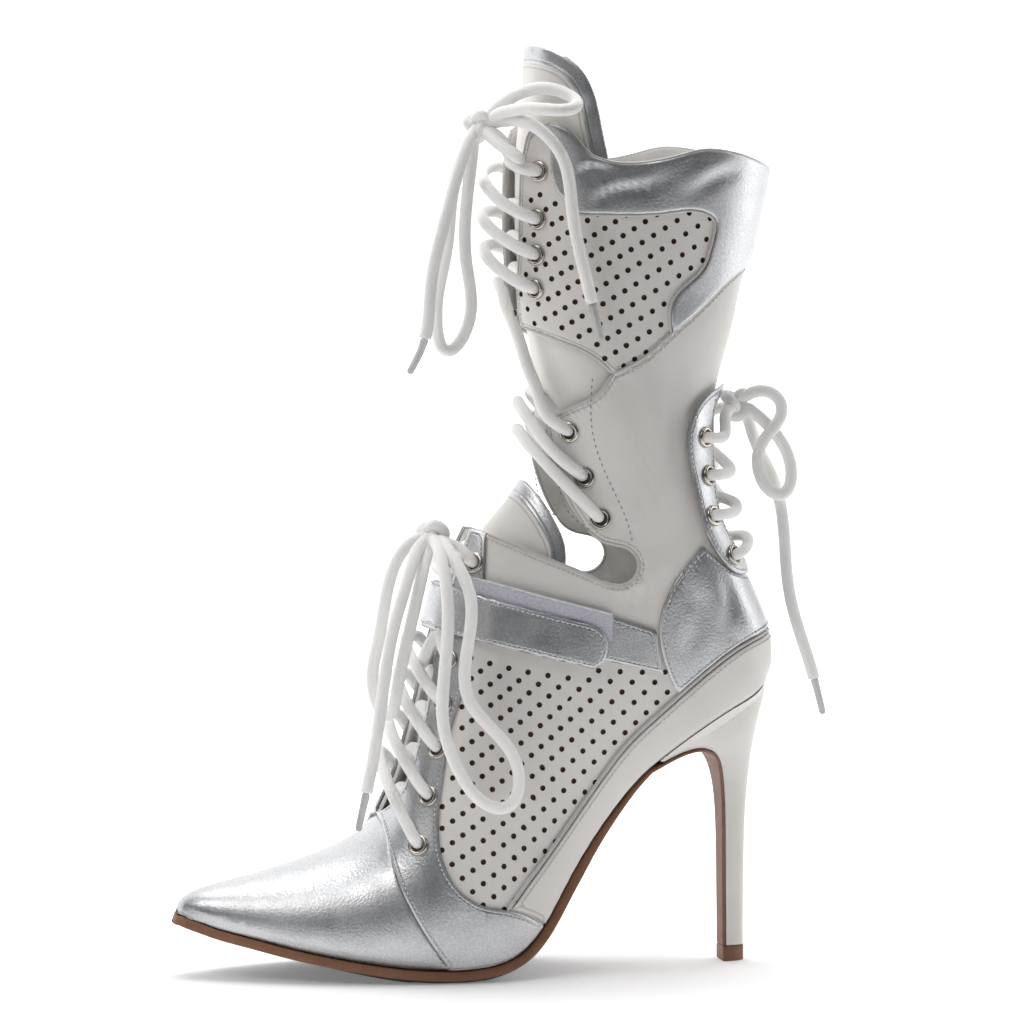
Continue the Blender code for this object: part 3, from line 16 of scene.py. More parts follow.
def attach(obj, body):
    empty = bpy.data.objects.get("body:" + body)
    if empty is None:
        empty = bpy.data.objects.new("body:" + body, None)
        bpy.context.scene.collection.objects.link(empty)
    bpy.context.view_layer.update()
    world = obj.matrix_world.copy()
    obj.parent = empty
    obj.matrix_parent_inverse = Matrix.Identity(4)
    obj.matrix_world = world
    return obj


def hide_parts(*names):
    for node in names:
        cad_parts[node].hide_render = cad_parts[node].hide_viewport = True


bl_info = {
    "name": "Heeled boot",
    "version": (1, 0),
    "blender": (4, 5, 0),
    "location": "3D View > Sidebar > Boot",
    "description": "Dresses the frame of a heeled lace-up boot",
    "category": "Object",
}

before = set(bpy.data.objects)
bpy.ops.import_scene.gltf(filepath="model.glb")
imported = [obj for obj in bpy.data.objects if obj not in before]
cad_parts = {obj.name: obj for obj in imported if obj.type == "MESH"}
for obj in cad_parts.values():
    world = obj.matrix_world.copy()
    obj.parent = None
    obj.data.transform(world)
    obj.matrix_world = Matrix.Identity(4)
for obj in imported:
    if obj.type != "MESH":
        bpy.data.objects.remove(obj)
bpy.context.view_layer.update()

# Driving dimensions, in metres
HALF_LENGTH = 0.100  # half the run from the heel tip to the toe's spring
HEEL_HEIGHT = 0.100  # floor to the middle of the heel seat
HALF_SHAFT = 0.100  # half the height from the heel seat to the collar
BALL_WIDTH = 0.078  # of the upper across the ball
SHAFT_WIDTH = 0.066  # of the shaft across the collar
WALL = 0.0016  # leather and lining
GAP = 0.00035  # between pieces that touch
OVERLAY = 0.0010  # thickness of a sewn panel
TONGUE_WALL = 0.0020
STRAP_WALL = 0.0016
SOLE_THICKNESS = 0.0034
BREAST_THICKNESS = 0.0010  # where the sole runs down the front of the heel
SOLE_EDGE = 0.0012  # the sole stands out from the upper by this much
SOLE_BELLY = 0.0019  # how much lower the sole's middle is than its side, at the ball
BELLY_AT = -116.0  # in the side view, and how far the belly reaches from there
BELLY_REACH = 70.0
SOLE_ROUND = 0.0060  # from the sole's side to where its underside is flat
ROUND_SHARE = 0.25  # of the half width, at most
INSOLE_THICKNESS = 0.0015
TIP_HEIGHT = 0.0060
LACE = 0.0046  # diameter
LACE_ARCH = 0.0030  # how much higher the laces cross in the middle than beside their eyelets
REAR_APART = 0.0023  # the rear laces' two halves cross this far behind and before their middle
REAR_AHEAD = 0.0015  # and that middle lies this far ahead of a straight line
BOW_STEP = 0.0013  # spacing of the points along a bow, and along the other rolled pieces
ROLL_STEP = 0.0012
EYE_DEEP = 0.0030  # a lace starts this far behind its eyelet's face
EYE_HIGH = 0.0012  # and this is its height over the seat where it leaves the hole
EYELET_OUTER = 0.0080  # diameters
EYELET_RISE = 0.0009
TAPE_WALL = 0.0004
TIP_EDGE = 0.0002
LOOSE = 0.0008  # under a piece whose facets don't follow the upper's
EDGE_LIFT = 0.0016  # the panels' lower border is this far above the sole
EDGE_PAST = 0.16  # and it goes round the seat's end by this share of a section
PANEL_ROOM = 0.9  # beside the piping, in the side view's units
SLIT_ROOM = 0.6
MM = 0.001  # for the laces' points, which are chosen in millimetres
KNOT_SINK = 0.3  # a loop starts this share of the way from the knot's middle
TOP_EDGE = 0.75  # the share of the sole's edge at its top
BREAST_EDGE = 0.1  # the share of its edge that the sole keeps down the heel
TOE_FLAT = 0.004  # the sole's toe is flat for this far
COUNTER_AT = (-27.0, 103.2)  # where the counter's front meets the piping, in the side view
FOXING_CORNER = (-92.1, 27.3)  # the foxing's foremost point, between the piping and the wing
HEEL_LEAD = 0.25  # the heel begins this far behind the seat's start, in sections
HEEL_ROUND = 2.3  # how square the heel's sections are behind
HEEL_EVEN = 1.2  # and how their points are spread, from the front to the back
INSOLE_START = 2.0  # its first section, and how far it stops before the seat's end
INSOLE_STOP = 0.45
INSOLE_ROOM = 0.001  # beside the insole

# Sections from the toe's point to the top of the tongue. front and back are where the section's plane
# meets the middle of the last. lateral and medial are half widths in hundredths of the ball's width
# and, from SHAFT_FROM on, of the shaft's. widest is where it is widest, from -1 at the back to 1 at
# the front. The two last columns say how square the front and the back halves are.
SHAFT_FROM = 20
SECTIONS = [
    # front x, z, back x, z, lateral, medial, middle y, widest, front square, back square
    (-209.6, 23.6, -209.6, 23.6, 0, 0, 6, -0.40, 2, 2.6),
    (-208.6, 27.6, -208.6, 23.3, 4.2, 4.2, 6, -0.40, 2, 2.6),
    (-205.6, 30.2, -205.8, 22.2, 8.4, 8.4, 5.9, -0.42, 2, 2.6),
    (-200.6, 32.4, -201, 20.6, 12.6, 12.6, 5.8, -0.45, 2, 2.7),
    (-193.2, 34.4, -194.6, 18.5, 17.6, 17.6, 5.5, -0.48, 2, 2.8),
    (-183, 36.8, -185.5, 16.3, 24.2, 24.2, 5, -0.50, 2, 2.9),
    (-170.3, 40.1, -173.4, 13.3, 31.6, 31.6, 4.2, -0.52, 2, 3),
    (-157, 44.5, -160, 10.4, 38.2, 38.6, 3.2, -0.54, 2, 3),
    (-144.8, 49.8, -145.5, 7.8, 43.6, 44.2, 2.2, -0.55, 2, 3),
    (-135.6, 57.4, -130.5, 5.7, 47.2, 47.8, 1.3, -0.55, 2, 3),
    (-129.6, 68.6, -116, 4.8, 49, 48.6, 0.6, -0.54, 2, 3),
    (-125.4, 82.6, -102, 5.3, 48.6, 46.4, 0, -0.52, 2, 3),
    (-122.3, 98, -89, 9, 47.4, 43.6, 0, -0.48, 2, 2.9),
    (-118.3, 113, -78.6, 18.2, 43.8, 40.2, 0, -0.42, 2, 2.8),
    (-114.4, 128, -69.6, 32, 40.4, 37.6, 0, -0.35, 2, 2.7),
    (-110.5, 142.5, -59.4, 47.6, 37.8, 36.2, 0, -0.28, 2, 2.6),
    (-106.2, 156, -48.2, 62.2, 36.4, 35.6, 0, -0.22, 2, 2.5),
    (-100, 168, -36.2, 75.2, 36, 35.6, 0, -0.18, 2, 2.5),
    (-91.5, 178, -20.4, 87.6, 36.2, 36, 0, -0.15, 2.1, 2.5),
    (-85, 188, -4.4, 97.2, 36.4, 36.4, 0, -0.12, 2.1, 2.5),
    (-82, 198.5, 9.8, 105.4, 43, 43, 0, -0.10, 2.1, 2.4),
    (-81.3, 209.5, 12.6, 118.5, 43, 43, 0, -0.06, 2.1, 2.3),
    (-81.6, 220.5, 9, 132.5, 43, 43, 0, -0.02, 2.2, 2.2),
    (-82.6, 231.5, 2.5, 147.5, 43.2, 43.2, 0, 0, 2.2, 2.2),
    (-84.2, 242.5, -4.5, 163, 43.4, 43.4, 0, 0, 2.3, 2.2),
    (-86.2, 253.5, -9, 181, 43.8, 43.8, 0, 0, 2.3, 2.2),
    (-87.7, 264.5, -9.5, 200, 44.6, 44.6, 0, 0, 2.3, 2.2),
    (-88.4, 275.5, -6.5, 220, 45.8, 45.8, 0, 0, 2.3, 2.2),
    (-88.5, 287, -1.2, 241, 47.2, 47.2, 0, 0, 2.3, 2.2),
    (-88, 300, 4.8, 264, 48.8, 48.8, 0, 0, 2.3, 2.2),
    (-87, 314, 10.2, 288, 50, 50, 0, 0, 2.3, 2.2),
    (-85.5, 329, 14.2, 312, 50.6, 50.6, 0, 0, 2.3, 2.2),
    (-84, 346, 16.5, 337, 51, 51, 0, 0, 2.3, 2.2),
]
SEAT_START = 17.0  # the section where the upper leaves the sole and sits on the heel
SEAT_END = 20.15  # and the one where the seat ends, behind the heel
FLOOR_SHARE = 0.90  # the upper's half width on the sole, of its widest
SEAT_SHARE = 0.82
WAIST_SHARE = 0.68  # and at the narrow waist under the arch
WAIST_AT = 16.3  # its section, and how many sections it takes before and behind
WAIST_BEFORE = 5.5
WAIST_BEHIND = 2.4
SEAT_ROUND = 2.3  # how square the seat's back end is
SEAT_BLEND = 5.0  # sections over which the sole's share turns into the seat's
SEAT_STRAIGHT = 0.4  # and how long the seat keeps its width

# The heel from its top down: front and back in the side view and the half width in hundredths of
# the ball's width
HEEL = [
    # front x, z, back x, z, half width
    (-30.5, 77.6, 12.4, 102.6, 24),
    (-24, 80.4, 11.4, 98.6, 22.5),
    (-17, 82, 10.2, 94, 20.5),
    (-11.2, 80.8, 8.8, 88, 17.5),
    (-7, 76.5, 7.4, 80, 13),
    (-4.6, 67, 6.1, 69, 8.8),
    (-3.6, 52, 5, 53, 6.8),
    (-3.3, 32, 4.6, 33, 6.2),
    (-3.1, 15, 4.4, 15, 6),
    (-3, 6.3, 4.4, 6.3, 6),
]

# Borders in the side view, the same on both sides of the boot
THROAT = [(-134.6, 58.6), (-128.9, 66), (-124.2, 77), (-121, 89), (-117.8, 102), (-114.9, 117),
          (-111.6, 131), (-107.3, 146), (-103, 158), (-100.5, 164)]
TAB_TOP = [(-100.5, 164), (-96, 162.8)]
INSTEP_TOP = [(-96, 162.8), (-88, 159.3), (-77, 154.6), (-66, 150.2), (-57, 146.2)]
ANKLE_CUT = [(-57, 146.2), (-51, 144.2), (-46, 145.3), (-42.8, 149), (-42.5, 153.5), (-45.5, 157.6),
             (-50.5, 159.4), (-56, 161), (-61.5, 165.8)]
LOWER_FLAP = [(-61.5, 165.8), (-66, 173), (-70, 181.5), (-73, 191), (-74.2, 204.5)]
WINDOW_LOW = [(-74.2, 204.5), (-66, 209.6), (-58, 214.2), (-52.3, 222.2)]
WINDOW_TOP = [(-52.3, 222.2), (-58, 227.5), (-66, 232), (-74.5, 235.4), (-82.6, 238.8)]
UPPER_FLAP = [(-82.6, 238.8), (-84.2, 250), (-84.8, 266), (-84.8, 284), (-84, 298), (-81.6, 310)]
FLAP_TOP = [(-81.6, 310), (-75, 313.6)]
COLLAR_RIM = [(-75, 313.6), (-69, 311), (-62, 302.8), (-54, 299.4), (-41, 299.2),
              (-30, 301.3), (-20, 303.6), (-10, 303), (-2, 301.2), (6, 298.6), (13.2, 296)]
REAR_SLIT = [(-8, 214.5), (-12, 210), (-13.2, 200), (-13.4, 188), (-12.6, 174), (-9.6, 165),
             (-5.6, 157.6), (0.6, 149.6)]

PIPING = [(-94, 27), (-86, 36.6), (-78, 46), (-70, 56), (-62, 66.4), (-53.5, 77.4),
          (-45.5, 86.8), (-36, 95.4), (-27, 103.2), (-14, 113.6), (0, 122), (12, 125.5)]
WING_SEAM = [(-94, 27), (-84, 23), (-76.5, 17.5)]
WING_REAR = [(-94, 27), (-104.5, 29.6), (-113, 36.5), (-117.6, 48), (-117.6, 61), (-115, 77),
             (-111.8, 92), (-107, 106), (-103.5, 122), (-98.8, 142), (-96, 162.8)]
VAMP_SEAM = [(-134.6, 58.6), (-134.6, 50), (-132.6, 37), (-127, 24), (-120, 12.6), (-113.5, 4.2)]
COUNTER_FRONT = [(-27.8, 104.4), (-31, 111), (-34, 120), (-35, 129.5), (-33, 138), (-28, 147),
                 (-18.5, 158)]
COUNTER_TOP = [(-18.5, 158), (-12.6, 153), (-6.6, 148.6), (3.6, 145.5)]
COLLAR_FRONT = [(-75, 313.6), (-74.4, 305), (-74.6, 296), (-72, 288), (-66, 281)]
COLLAR_LOW = [(-66, 281), (-50, 280.6), (-34, 281.2), (-19, 281.4), (-14.2, 278.4), (-14.6, 271),
              (-18.5, 260), (-26.5, 253), (-30.6, 247.6), (-31, 241), (-30.4, 237)]
SHAFT_SEAM = [(-30.4, 237), (-20, 245.2), (-11, 252.8), (-3, 258.6), (5, 262)]
REAR_STAY = [(-8, 217.5), (-17, 213.4), (-23.6, 206), (-25.6, 197.5), (-24.2, 186), (-21.2, 173),
             (-17, 160.5), (-10.8, 151.2), (-5, 146.8), (0, 146.4)]

TONGUE_TOP_SHAFT = [(-86, 342.5), (-75, 340), (-66, 334), (-60.5, 325), (-57, 311), (-54, 298)]
TONGUE_SIDE_SHAFT = [(-54, 298), (-52, 270), (-50, 240), (-51, 215), (-56, 193)]
TONGUE_FOOT_SHAFT = [(-56, 193), (-68, 194), (-83.5, 196)]
TONGUE_TOP_INSTEP = [(-87, 186), (-79, 178), (-73, 168.6), (-69.5, 160), (-69.5, 149)]
TONGUE_SIDE_INSTEP = [(-69.5, 149), (-79, 132), (-92, 108), (-103, 86), (-113, 68)]
TONGUE_FOOT_INSTEP = [(-113, 68), (-122, 60), (-137.5, 56.6)]
TONGUE_CLEAR = 0.0010  # between the wall's inner face and the tongue
TONGUE_SINK = 0.0022  # how much flatter a tongue is than the boot's front

STRAP_LOW = [(-114.5, 127), (-107, 125.4), (-90, 121.4), (-75, 117.8), (-60, 114.2)]
STRAP_END = [(-60, 114.2), (-56.4, 117), (-54.8, 121.5), (-55.6, 126.5), (-60.5, 130.2)]
STRAP_TOP = [(-60.5, 130.2), (-75, 133.8), (-90, 137.8), (-106, 142.6), (-112, 145.5)]
TAPE_TOP = [(-55, 134.6), (-75, 139.8), (-90, 143.8), (-102.5, 147)]
BAND = [(-52, 116), (-52, 133), (-36.2, 127.6), (-35.4, 119.6), (-33.4, 111.8)]

# Eyelets in the side view, the same on both sides
INSTEP_EYELETS = [(-125, 50.5), (-120.2, 68), (-116.4, 85), (-113.4, 101), (-110.6, 117), (-100.6, 152)]
LOWER_EYELETS = [(-67, 200.6), (-62, 184), (-56.4, 168.8)]
UPPER_EYELETS = [(-79.6, 253), (-79.8, 265.5), (-79.6, 278.5), (-79, 296)]
REAR_EYELETS = [(-18.4, 198), (-17.4, 183.4), (-15.6, 168.4), (-7.4, 153.6)]
REAR_EDGE = [(-11, 199), (-10.6, 184), (-8.6, 169.5), (-2.4, 156)]
# The last instep crossing, under the strap: height, share of the throat's half width, offset in millimetres
UNDER_STRAP = [(118.2, 0.85, 4.4), (124, 0, -1.9), (131, 0, -1.9), (139, 0, -1.9),
               (147, 0, -1.5), (150.6, -0.85, 4.4)]

# The bows, in millimetres: a knot's middle, and the points that each loop or end follows from it
SHAFT_KNOT = (-97, -4, 313)
SHAFT_BOW = [
    [(-95, -9, 309.4), (-89, -20, 303), (-85, -24.5, 299.6)],
    [(-90.6, -10, 314.2), (-79.6, -29.4, 311), (-73.4, -34.4, 303.1), (-69.4, -36, 281.7),
     (-64.6, -36.6, 258.1), (-58.6, -36.6, 234.7)],
    [(-92, -8, 318.5), (-84, -15, 324.6), (-75.6, -22, 326.4), (-67.8, -28, 323.2),
     (-65.6, -32.5, 320.2), (-71, -36, 318.2), (-80.5, -31, 318.8), (-91, -14, 317.2)],
    [(-101, -7, 308.2), (-106.6, -11, 295.6), (-112.4, -13, 276.3), (-117.4, -13, 252.8),
     (-119.4, -13, 234.4), (-125.2, -12, 222.1)],
    [(-101, -3, 306.4), (-106.6, -2, 289.8), (-109.2, -2, 265.8), (-113.2, -3, 240.3),
     (-109.7, -4, 228.3), (-102.6, -4, 236.1), (-102, -3, 262.2), (-100.6, -3, 294.4),
     (-99.2, -3, 306)],
]
INSTEP_KNOT = (-115.4, -6, 162.4)
INSTEP_BOW = [
    [(-113.5, -10, 158.4), (-108.6, -16, 154.8), (-106.6, -18.6, 153.4)],
    [(-115.4, -12, 160.4), (-116, -28, 153.9), (-115.8, -37, 140.2), (-117.4, -39, 115.2),
     (-118.1, -41.4, 94.1), (-112.2, -43.4, 77.8), (-104.4, -44.4, 67.7), (-94.7, -44, 65.2),
     (-90.3, -42.8, 73.9), (-94.7, -41.8, 88), (-109.1, -39.4, 105.8), (-109, -38.4, 122.6),
     (-107.2, -37, 142.1), (-110.3, -29, 152.7), (-113, -12, 160.4)],
    [(-120.2, -9, 159.4), (-125.5, -17, 151.2), (-132.3, -22, 132.2), (-140.6, -29, 90.5),
     (-148, -31, 56.9)],
    [(-120.6, -6, 161.4), (-131.7, -10, 148.1), (-136.6, -12, 124.6), (-138.2, -13, 103),
     (-133.9, -15, 95.3), (-131.4, -20, 106.4), (-127.4, -20, 125.4), (-119.8, -13, 151.9),
     (-117, -8, 159.4)],
]
REAR_KNOT = (0.2, -4, 209.3)
REAR_BOW = [
    [(4.4, -6, 213.2), (8.2, -7, 214.6), (15.3, -8, 212.3), (17.5, -8, 205.9), (11.2, -8, 197.7),
     (7.3, -8, 190.8), (8.1, -8, 182.9), (12, -8, 176.5), (17.8, -8, 174.2), (20.7, -8, 180.2),
     (18.8, -7, 192), (11.4, -6, 202), (4.6, -5, 207.6)],
    [(4, -1, 207.6), (7.1, 0, 199.3), (16.2, -1, 178.9), (19.6, -3, 154.3), (21.1, -4, 137.8),
     (29.6, -5, 109), (34, -5, 92.3)],
]
HEEL_RINGS = 44
HEEL_SIDE = 26
WAIST_ROWS = 26
STITCH_IN = 0.0015  # a row of stitches lies this far inside an edge
STITCH_HIGH = 0.00005  # and its thread's middle this far above the face
THREAD = 0.0005
GROOVE = 0.0005  # half the width of the groove that the stitches draw
STRANDS = 12  # of the laces' braid, round the cord
EYELET_HOLE = 0.0048
PUNCHED = 0.0017  # the face's points keep this far from a perforation's middle
DEEP = 0.0042  # how deep a lace's middle lies behind the flaps
DEEP_LOW = 0.0048
LOW_ARCH = -0.0038  # the laces run straight across the open front below the tongue
TONGUE_DEEPER = 0.0014  # the laces press the padded tongues in by this much
AGLET = 0.0150
EASING = 14  # passes that round a lace's tight bends
KNOT_SIZE = 0.0016
SWELL = 0.00045  # of the soft upper, up or down
# The paper's glow is painted light: least under the boot, where its shadow falls, most far behind.
PAPER_GLOW = (0.16, 0.26, 0.80, 1.0)  # of the paper under the boot, beside it, behind it and far behind

CAMERA_TARGET = (-0.084114, 0.0, 0.169829)
CAMERA_BACK = (-0.2073, -0.9751, 0.0785)  # from the target to the camera
CAMERA_FAR = 2.0
CAMERA_LENS = 190.0

# Name, place, size, power and colour of each light
LIGHTS = [
    ("key", (-1.2, -0.7, 1.4), (0.7, 0.7), 6, "FFFDFA"),
    ("top", (-0.1, 0.20, 1.5), (1.2, 0.8), 14.5, "FFFFFF"),
    ("side", (1.15, 0, 0.45), (0.5, 0.9), 3.4, "FFFFFF"),
]

# Perforations in the side view, in millimetres: one hole's place, the lattice's two steps, how they
# change along it, and the region
QUARTER_HOLES = (
    (-83.5, 98), (3.77, -4.50), (-3.61, -3.07), [(0.068, 0.018), (-0.069, -0.058), (0, 0.025)],
    [(-100, 25.5), (-111, 33.5), (-117.5, 47), (-118, 61), (-115, 78), (-111, 92), (-107.5, 104),
     (-106, 119.6), (-84.6, 116), (-64.6, 112.8), (-61, 115.4), (-30, 114), (-28, 105), (-44, 88),
     (-60.5, 68), (-76.5, 47.4), (-91, 28.5)])
FLAP_HOLES = (
    (-56.5, 247.8), (3.81, 2.32), (2.80, -5.13), [(0.061, 0.029), (0.099, 0.031), (0.052, 0.010)],
    [(-84.8, 239.8), (-84.8, 284.5), (-78, 292), (-73.4, 285.7), (-67.1, 281.8), (-18.8, 281.6), (-13.6, 279.6),
     (-13.2, 276.3), (-14.8, 266), (-18.2, 258.6), (-26.2, 252.2), (-30.2, 248), (-30.2, 244.2), (-29.4, 239.8),
     (-30.7, 238.2), (-40.8, 228.8), (-51.7, 223.4), (-61.4, 230.2), (-72.6, 237), (-82.7, 241)])
TREAD_END = -0.066
SEAM = [(-52.3, 222.2), (-41, 228), *SHAFT_SEAM]  # the whole seam across the shaft

# Main creases in the side view: points, depth and width in millimetres, and the side, 0 for both
CREASES = [
    ([(-60, 284), (-52, 289), (-44, 290), (-34, 294)], 1.1, 2.2, 0),
    ([(-70, 290), (-62, 297), (-54, 296)], 0.9, 1.8, 0),
    ([(-26, 286), (-14, 294), (-4, 296)], 0.7, 3, 0),
    ([(-44, 215), (-40, 195), (-42, 175), (-48, 164)], 0.8, 4, 0),
    ([(-30, 222), (-29, 205), (-33, 185)], 0.7, 4, 0),
    ([(-24, 120), (-20, 130), (-22, 142)], 0.6, 3, 0),
    ([(-10, 128), (-8, 138), (-12, 147)], 0.5, 2.6, 0),
    ([(-52, 136.5), (-40, 141), (-26, 149)], 0.9, 3.2, 0),
]

# Rows of grey stitches in the side view
GREY_STITCHES = [
    [(-59.9, 221), (-59.5, 202), (-56.5, 190.4), (-50.9, 177.5), (-46.3, 166.4), (-44.8, 160.1)],
    [(-73.1, 203.4), (-71.3, 187), (-67.5, 171), (-60.6, 164.9)],
]

# The ankle band's front end, and the tape with the end that turns down round the strap
BAND_FRONT = [(-52, 116.2), (-61, 118.4), (-61, 134), (-52, 132.9)]
TAPE_UNDER = [(-103.5, 141), (-90, 137.2), (-75, 133.2), (-60.8, 129.6), (-57.2, 123.4)]
TAPE_END = [(-57.2, 123.4), (-52.9, 124.2), (-52.7, 133.9)]

STEP = 0.0022  # spacing of the dressed face's points
RIMS = (0.0004, 0.0010, 0.0022)  # rows of points beside a panel's edge, in metres
ROUNDED = 0.0010  # a panel's edge is rounded over this width
FINE = 0.00025  # spacing of the points that distances are measured to


def height(z):
    """A side view's height in metres."""
    z = np.asarray(z, float)
    return (np.minimum(z, 100) * HEEL_HEIGHT + np.maximum(z - 100, 0) * HALF_SHAFT) / 100


def side_view(points):
    """Side view points in metres."""
    points = np.asarray(points, float).reshape(-1, 2)
    return np.column_stack([points[:, 0] * HALF_LENGTH / 100, height(points[:, 1])])


def run_along(points):
    """How far along a line each of its points lies."""
    return np.concatenate([[0], np.cumsum(norm(np.diff(points, axis=0), axis=1))])


def unit(vectors):
    """Vectors of length one."""
    return vectors / np.maximum(norm(vectors, axis=-1, keepdims=True), 1e-12)


def smooth(knots, rows):
    """A function that runs smoothly through the rows, one at each knot."""
    knots, rows = np.asarray(knots, float), np.asarray(rows, float).reshape(len(knots), -1)
    n, h = len(knots), np.diff(knots)
    bends = np.zeros_like(rows)
    if n > 2:
        system = np.diag(2 * (h[:-1] + h[1:])) + np.diag(h[1:-1], 1) + np.diag(h[1:-1], -1)
        slopes = np.diff(rows, axis=0) / h[:, None]
        bends[1:-1] = np.linalg.solve(system, 6 * np.diff(slopes, axis=0))

    def at(u):
        u = np.clip(np.atleast_1d(np.asarray(u, float)), knots[0], knots[-1])
        i = np.clip(np.searchsorted(knots, u, side="right") - 1, 0, n - 2)
        step, a = h[i][:, None], ((knots[i + 1] - u) / h[i])[:, None]
        b = 1 - a
        curve = (a**3 - a) * bends[i] + (b**3 - b) * bends[i + 1]
        return a * rows[i] + b * rows[i + 1] + curve * step**2 / 6

    return at


def sampled(points, step=STEP):
    """A smooth curve through the points, as points about step apart."""
    points = np.asarray(points, float)
    along = run_along(points)
    count = max(2, math.ceil(along[-1] / step) + 1)
    return smooth(along, points)(np.linspace(0, along[-1], count))


def section_rows():
    """The sections in metres, continued through the toe's point so that the tip comes out round."""
    rows = []
    for k, (fx, fz, bx, bz, lateral, medial, middle, widest, front, back) in enumerate(SECTIONS):
        (fx, fz), (bx, bz) = side_view([(fx, fz), (bx, bz)])
        of = (BALL_WIDTH if k < SHAFT_FROM else SHAFT_WIDTH) / 100
        rows.append([fx, fz, bx, bz, lateral * of, medial * of, middle * of, widest, front, back])
    first = rows[1]
    through = [first[2], first[3], first[0], first[1], -first[4], -first[5], *first[6:]]
    return [through, *rows]


ROWS = section_rows()
SECTION_AT = smooth(np.arange(-1, len(SECTIONS)), ROWS)
LAST = len(SECTIONS) - 1.0


def floor_share(s):
    """The half width on the sole or seat, as a share of the section's widest."""
    s = np.asarray(s, float)
    blend = np.clip((s - SEAT_START + SEAT_BLEND) / SEAT_BLEND, 0, 1)
    share = FLOOR_SHARE + (SEAT_SHARE - FLOOR_SHARE) * blend * blend * (3 - 2 * blend)
    run = np.where(s < WAIST_AT, WAIST_BEFORE, WAIST_BEHIND)
    waist = np.clip(1 - np.abs(s - WAIST_AT) / run, 0, 1)
    share = share + (WAIST_SHARE - share) * waist * waist * (3 - 2 * waist)
    behind = np.clip((s - SEAT_START - SEAT_STRAIGHT) / (SEAT_END - SEAT_START - SEAT_STRAIGHT), 0, 1)
    return share * (1 - behind**SEAT_ROUND) ** (1 / SEAT_ROUND)


def surface(s, t, side):
    """Points of the upper's face: t is 0 along the front, pi along the back or the sole's edge."""
    s, t, side = np.broadcast_arrays(*(np.asarray(v, float) for v in (s, t, side)))
    side = np.where(t < 0, -side, side)
    t = np.abs(t)
    row = SECTION_AT(s.ravel()).reshape(*s.shape, -1)
    front, back = row[..., 0:2], row[..., 2:4]
    wide = np.where(side < 0, row[..., 4], row[..., 5])
    middle, widest, front_n, back_n = (row[..., k] for k in (6, 7, 8, 9))
    c = np.cos(t)
    ahead = np.maximum(c, 0) ** (2 / front_n)
    behind = np.maximum(-c, 0) ** (2 / back_n)
    v = widest + (1 - widest) * ahead - (1 + widest) * behind
    closing = 1 - floor_share(s) ** back_n
    out = np.where(
        c >= 0,
        np.maximum(1 - c * c, 0) ** (1 / front_n),
        np.maximum(1 - closing * c * c, 0) ** (1 / back_n),
    )
    flat = (front + back) / 2 + (front - back) / 2 * v[..., None]
    return np.stack([flat[..., 0], middle + side * wide * out, flat[..., 1]], axis=-1)


def outward(s, t, side):
    """The face's outward directions at the same points."""
    small = 1e-3
    s, t, side = np.broadcast_arrays(*(np.asarray(v, float) for v in (s, t, side)))
    open_below = floor_share(s) > 0
    mid = np.clip(t, small, np.pi - small)
    along = surface(np.minimum(s + small, LAST), mid, side) - surface(np.maximum(s - small, 0), mid, side)
    round_it = surface(s, mid + small, side) - surface(s, mid - small, side)
    normal = np.cross(along, round_it) * side[..., None]
    on_ridge = (t < small) | ((t > np.pi - small) & ~open_below)
    normal[..., 1] = np.where(on_ridge, 0, normal[..., 1])
    row = SECTION_AT(s.ravel()).reshape(*s.shape, -1)
    tip = (s < small)[..., None]
    normal = np.where(tip, np.array([-1.0, 0.0, 0.0]), normal)
    normal = unit(normal)
    middle = (row[..., 0:2] + row[..., 2:4]) / 2
    point = surface(s, t, side)
    away = point - np.stack([middle[..., 0], row[..., 6], middle[..., 1]], axis=-1)
    wrong = (np.sum(away * normal, axis=-1) < 0)[..., None] & ~tip
    return np.where(wrong, -normal, normal)


GRID = np.linspace(0.02, LAST, 1601)
GRID_ROWS = SECTION_AT(GRID)


def to_surface(points):
    """(s, t) of side view points in metres: the section whose plane holds each, and how far round it."""
    found = []
    for x, z in np.asarray(points, float).reshape(-1, 2):
        ahead = GRID_ROWS[:, 0:2] - GRID_ROWS[:, 2:4]
        to = np.array([x, z]) - GRID_ROWS[:, 2:4]
        turn = ahead[:, 0] * to[:, 1] - ahead[:, 1] * to[:, 0]
        share = np.sum(ahead * to, axis=1) / np.maximum(np.sum(ahead * ahead, axis=1), 1e-12)
        crossed = np.flatnonzero((turn[:-1] < 0) != (turn[1:] < 0))
        crossed = crossed[(share[crossed] > -0.3) & (share[crossed] < 1.3)]
        i = crossed[0] if len(crossed) else int(np.abs(turn).argmin())
        i = min(i, len(GRID) - 2)
        mix = turn[i] / (turn[i] - turn[i + 1]) if turn[i] != turn[i + 1] else 0.0
        s = GRID[i] + mix * (GRID[i + 1] - GRID[i])
        row = SECTION_AT(s)[0]
        line = row[0:2] - row[2:4]
        v = 2 * float(np.dot(np.array([x, z]) - row[2:4], line) / max(np.dot(line, line), 1e-12)) - 1
        v = min(max(v, -1.0), 1.0)
        widest, front_n, back_n = row[7], row[8], row[9]
        if v >= widest:
            t = math.acos(min(1.0, ((v - widest) / (1 - widest)) ** (front_n / 2)))
        else:
            t = math.acos(-min(1.0, ((widest - v) / (1 + widest)) ** (back_n / 2)))
        found.append((s, t))
    return np.array(found)


def border(points, step=STEP):
    """A side view border as points on the surface."""
    return to_surface(sampled(side_view(points), step))


def at_t(s, t):
    """Places at the same t."""
    return np.column_stack([s, np.full(len(s), t)])


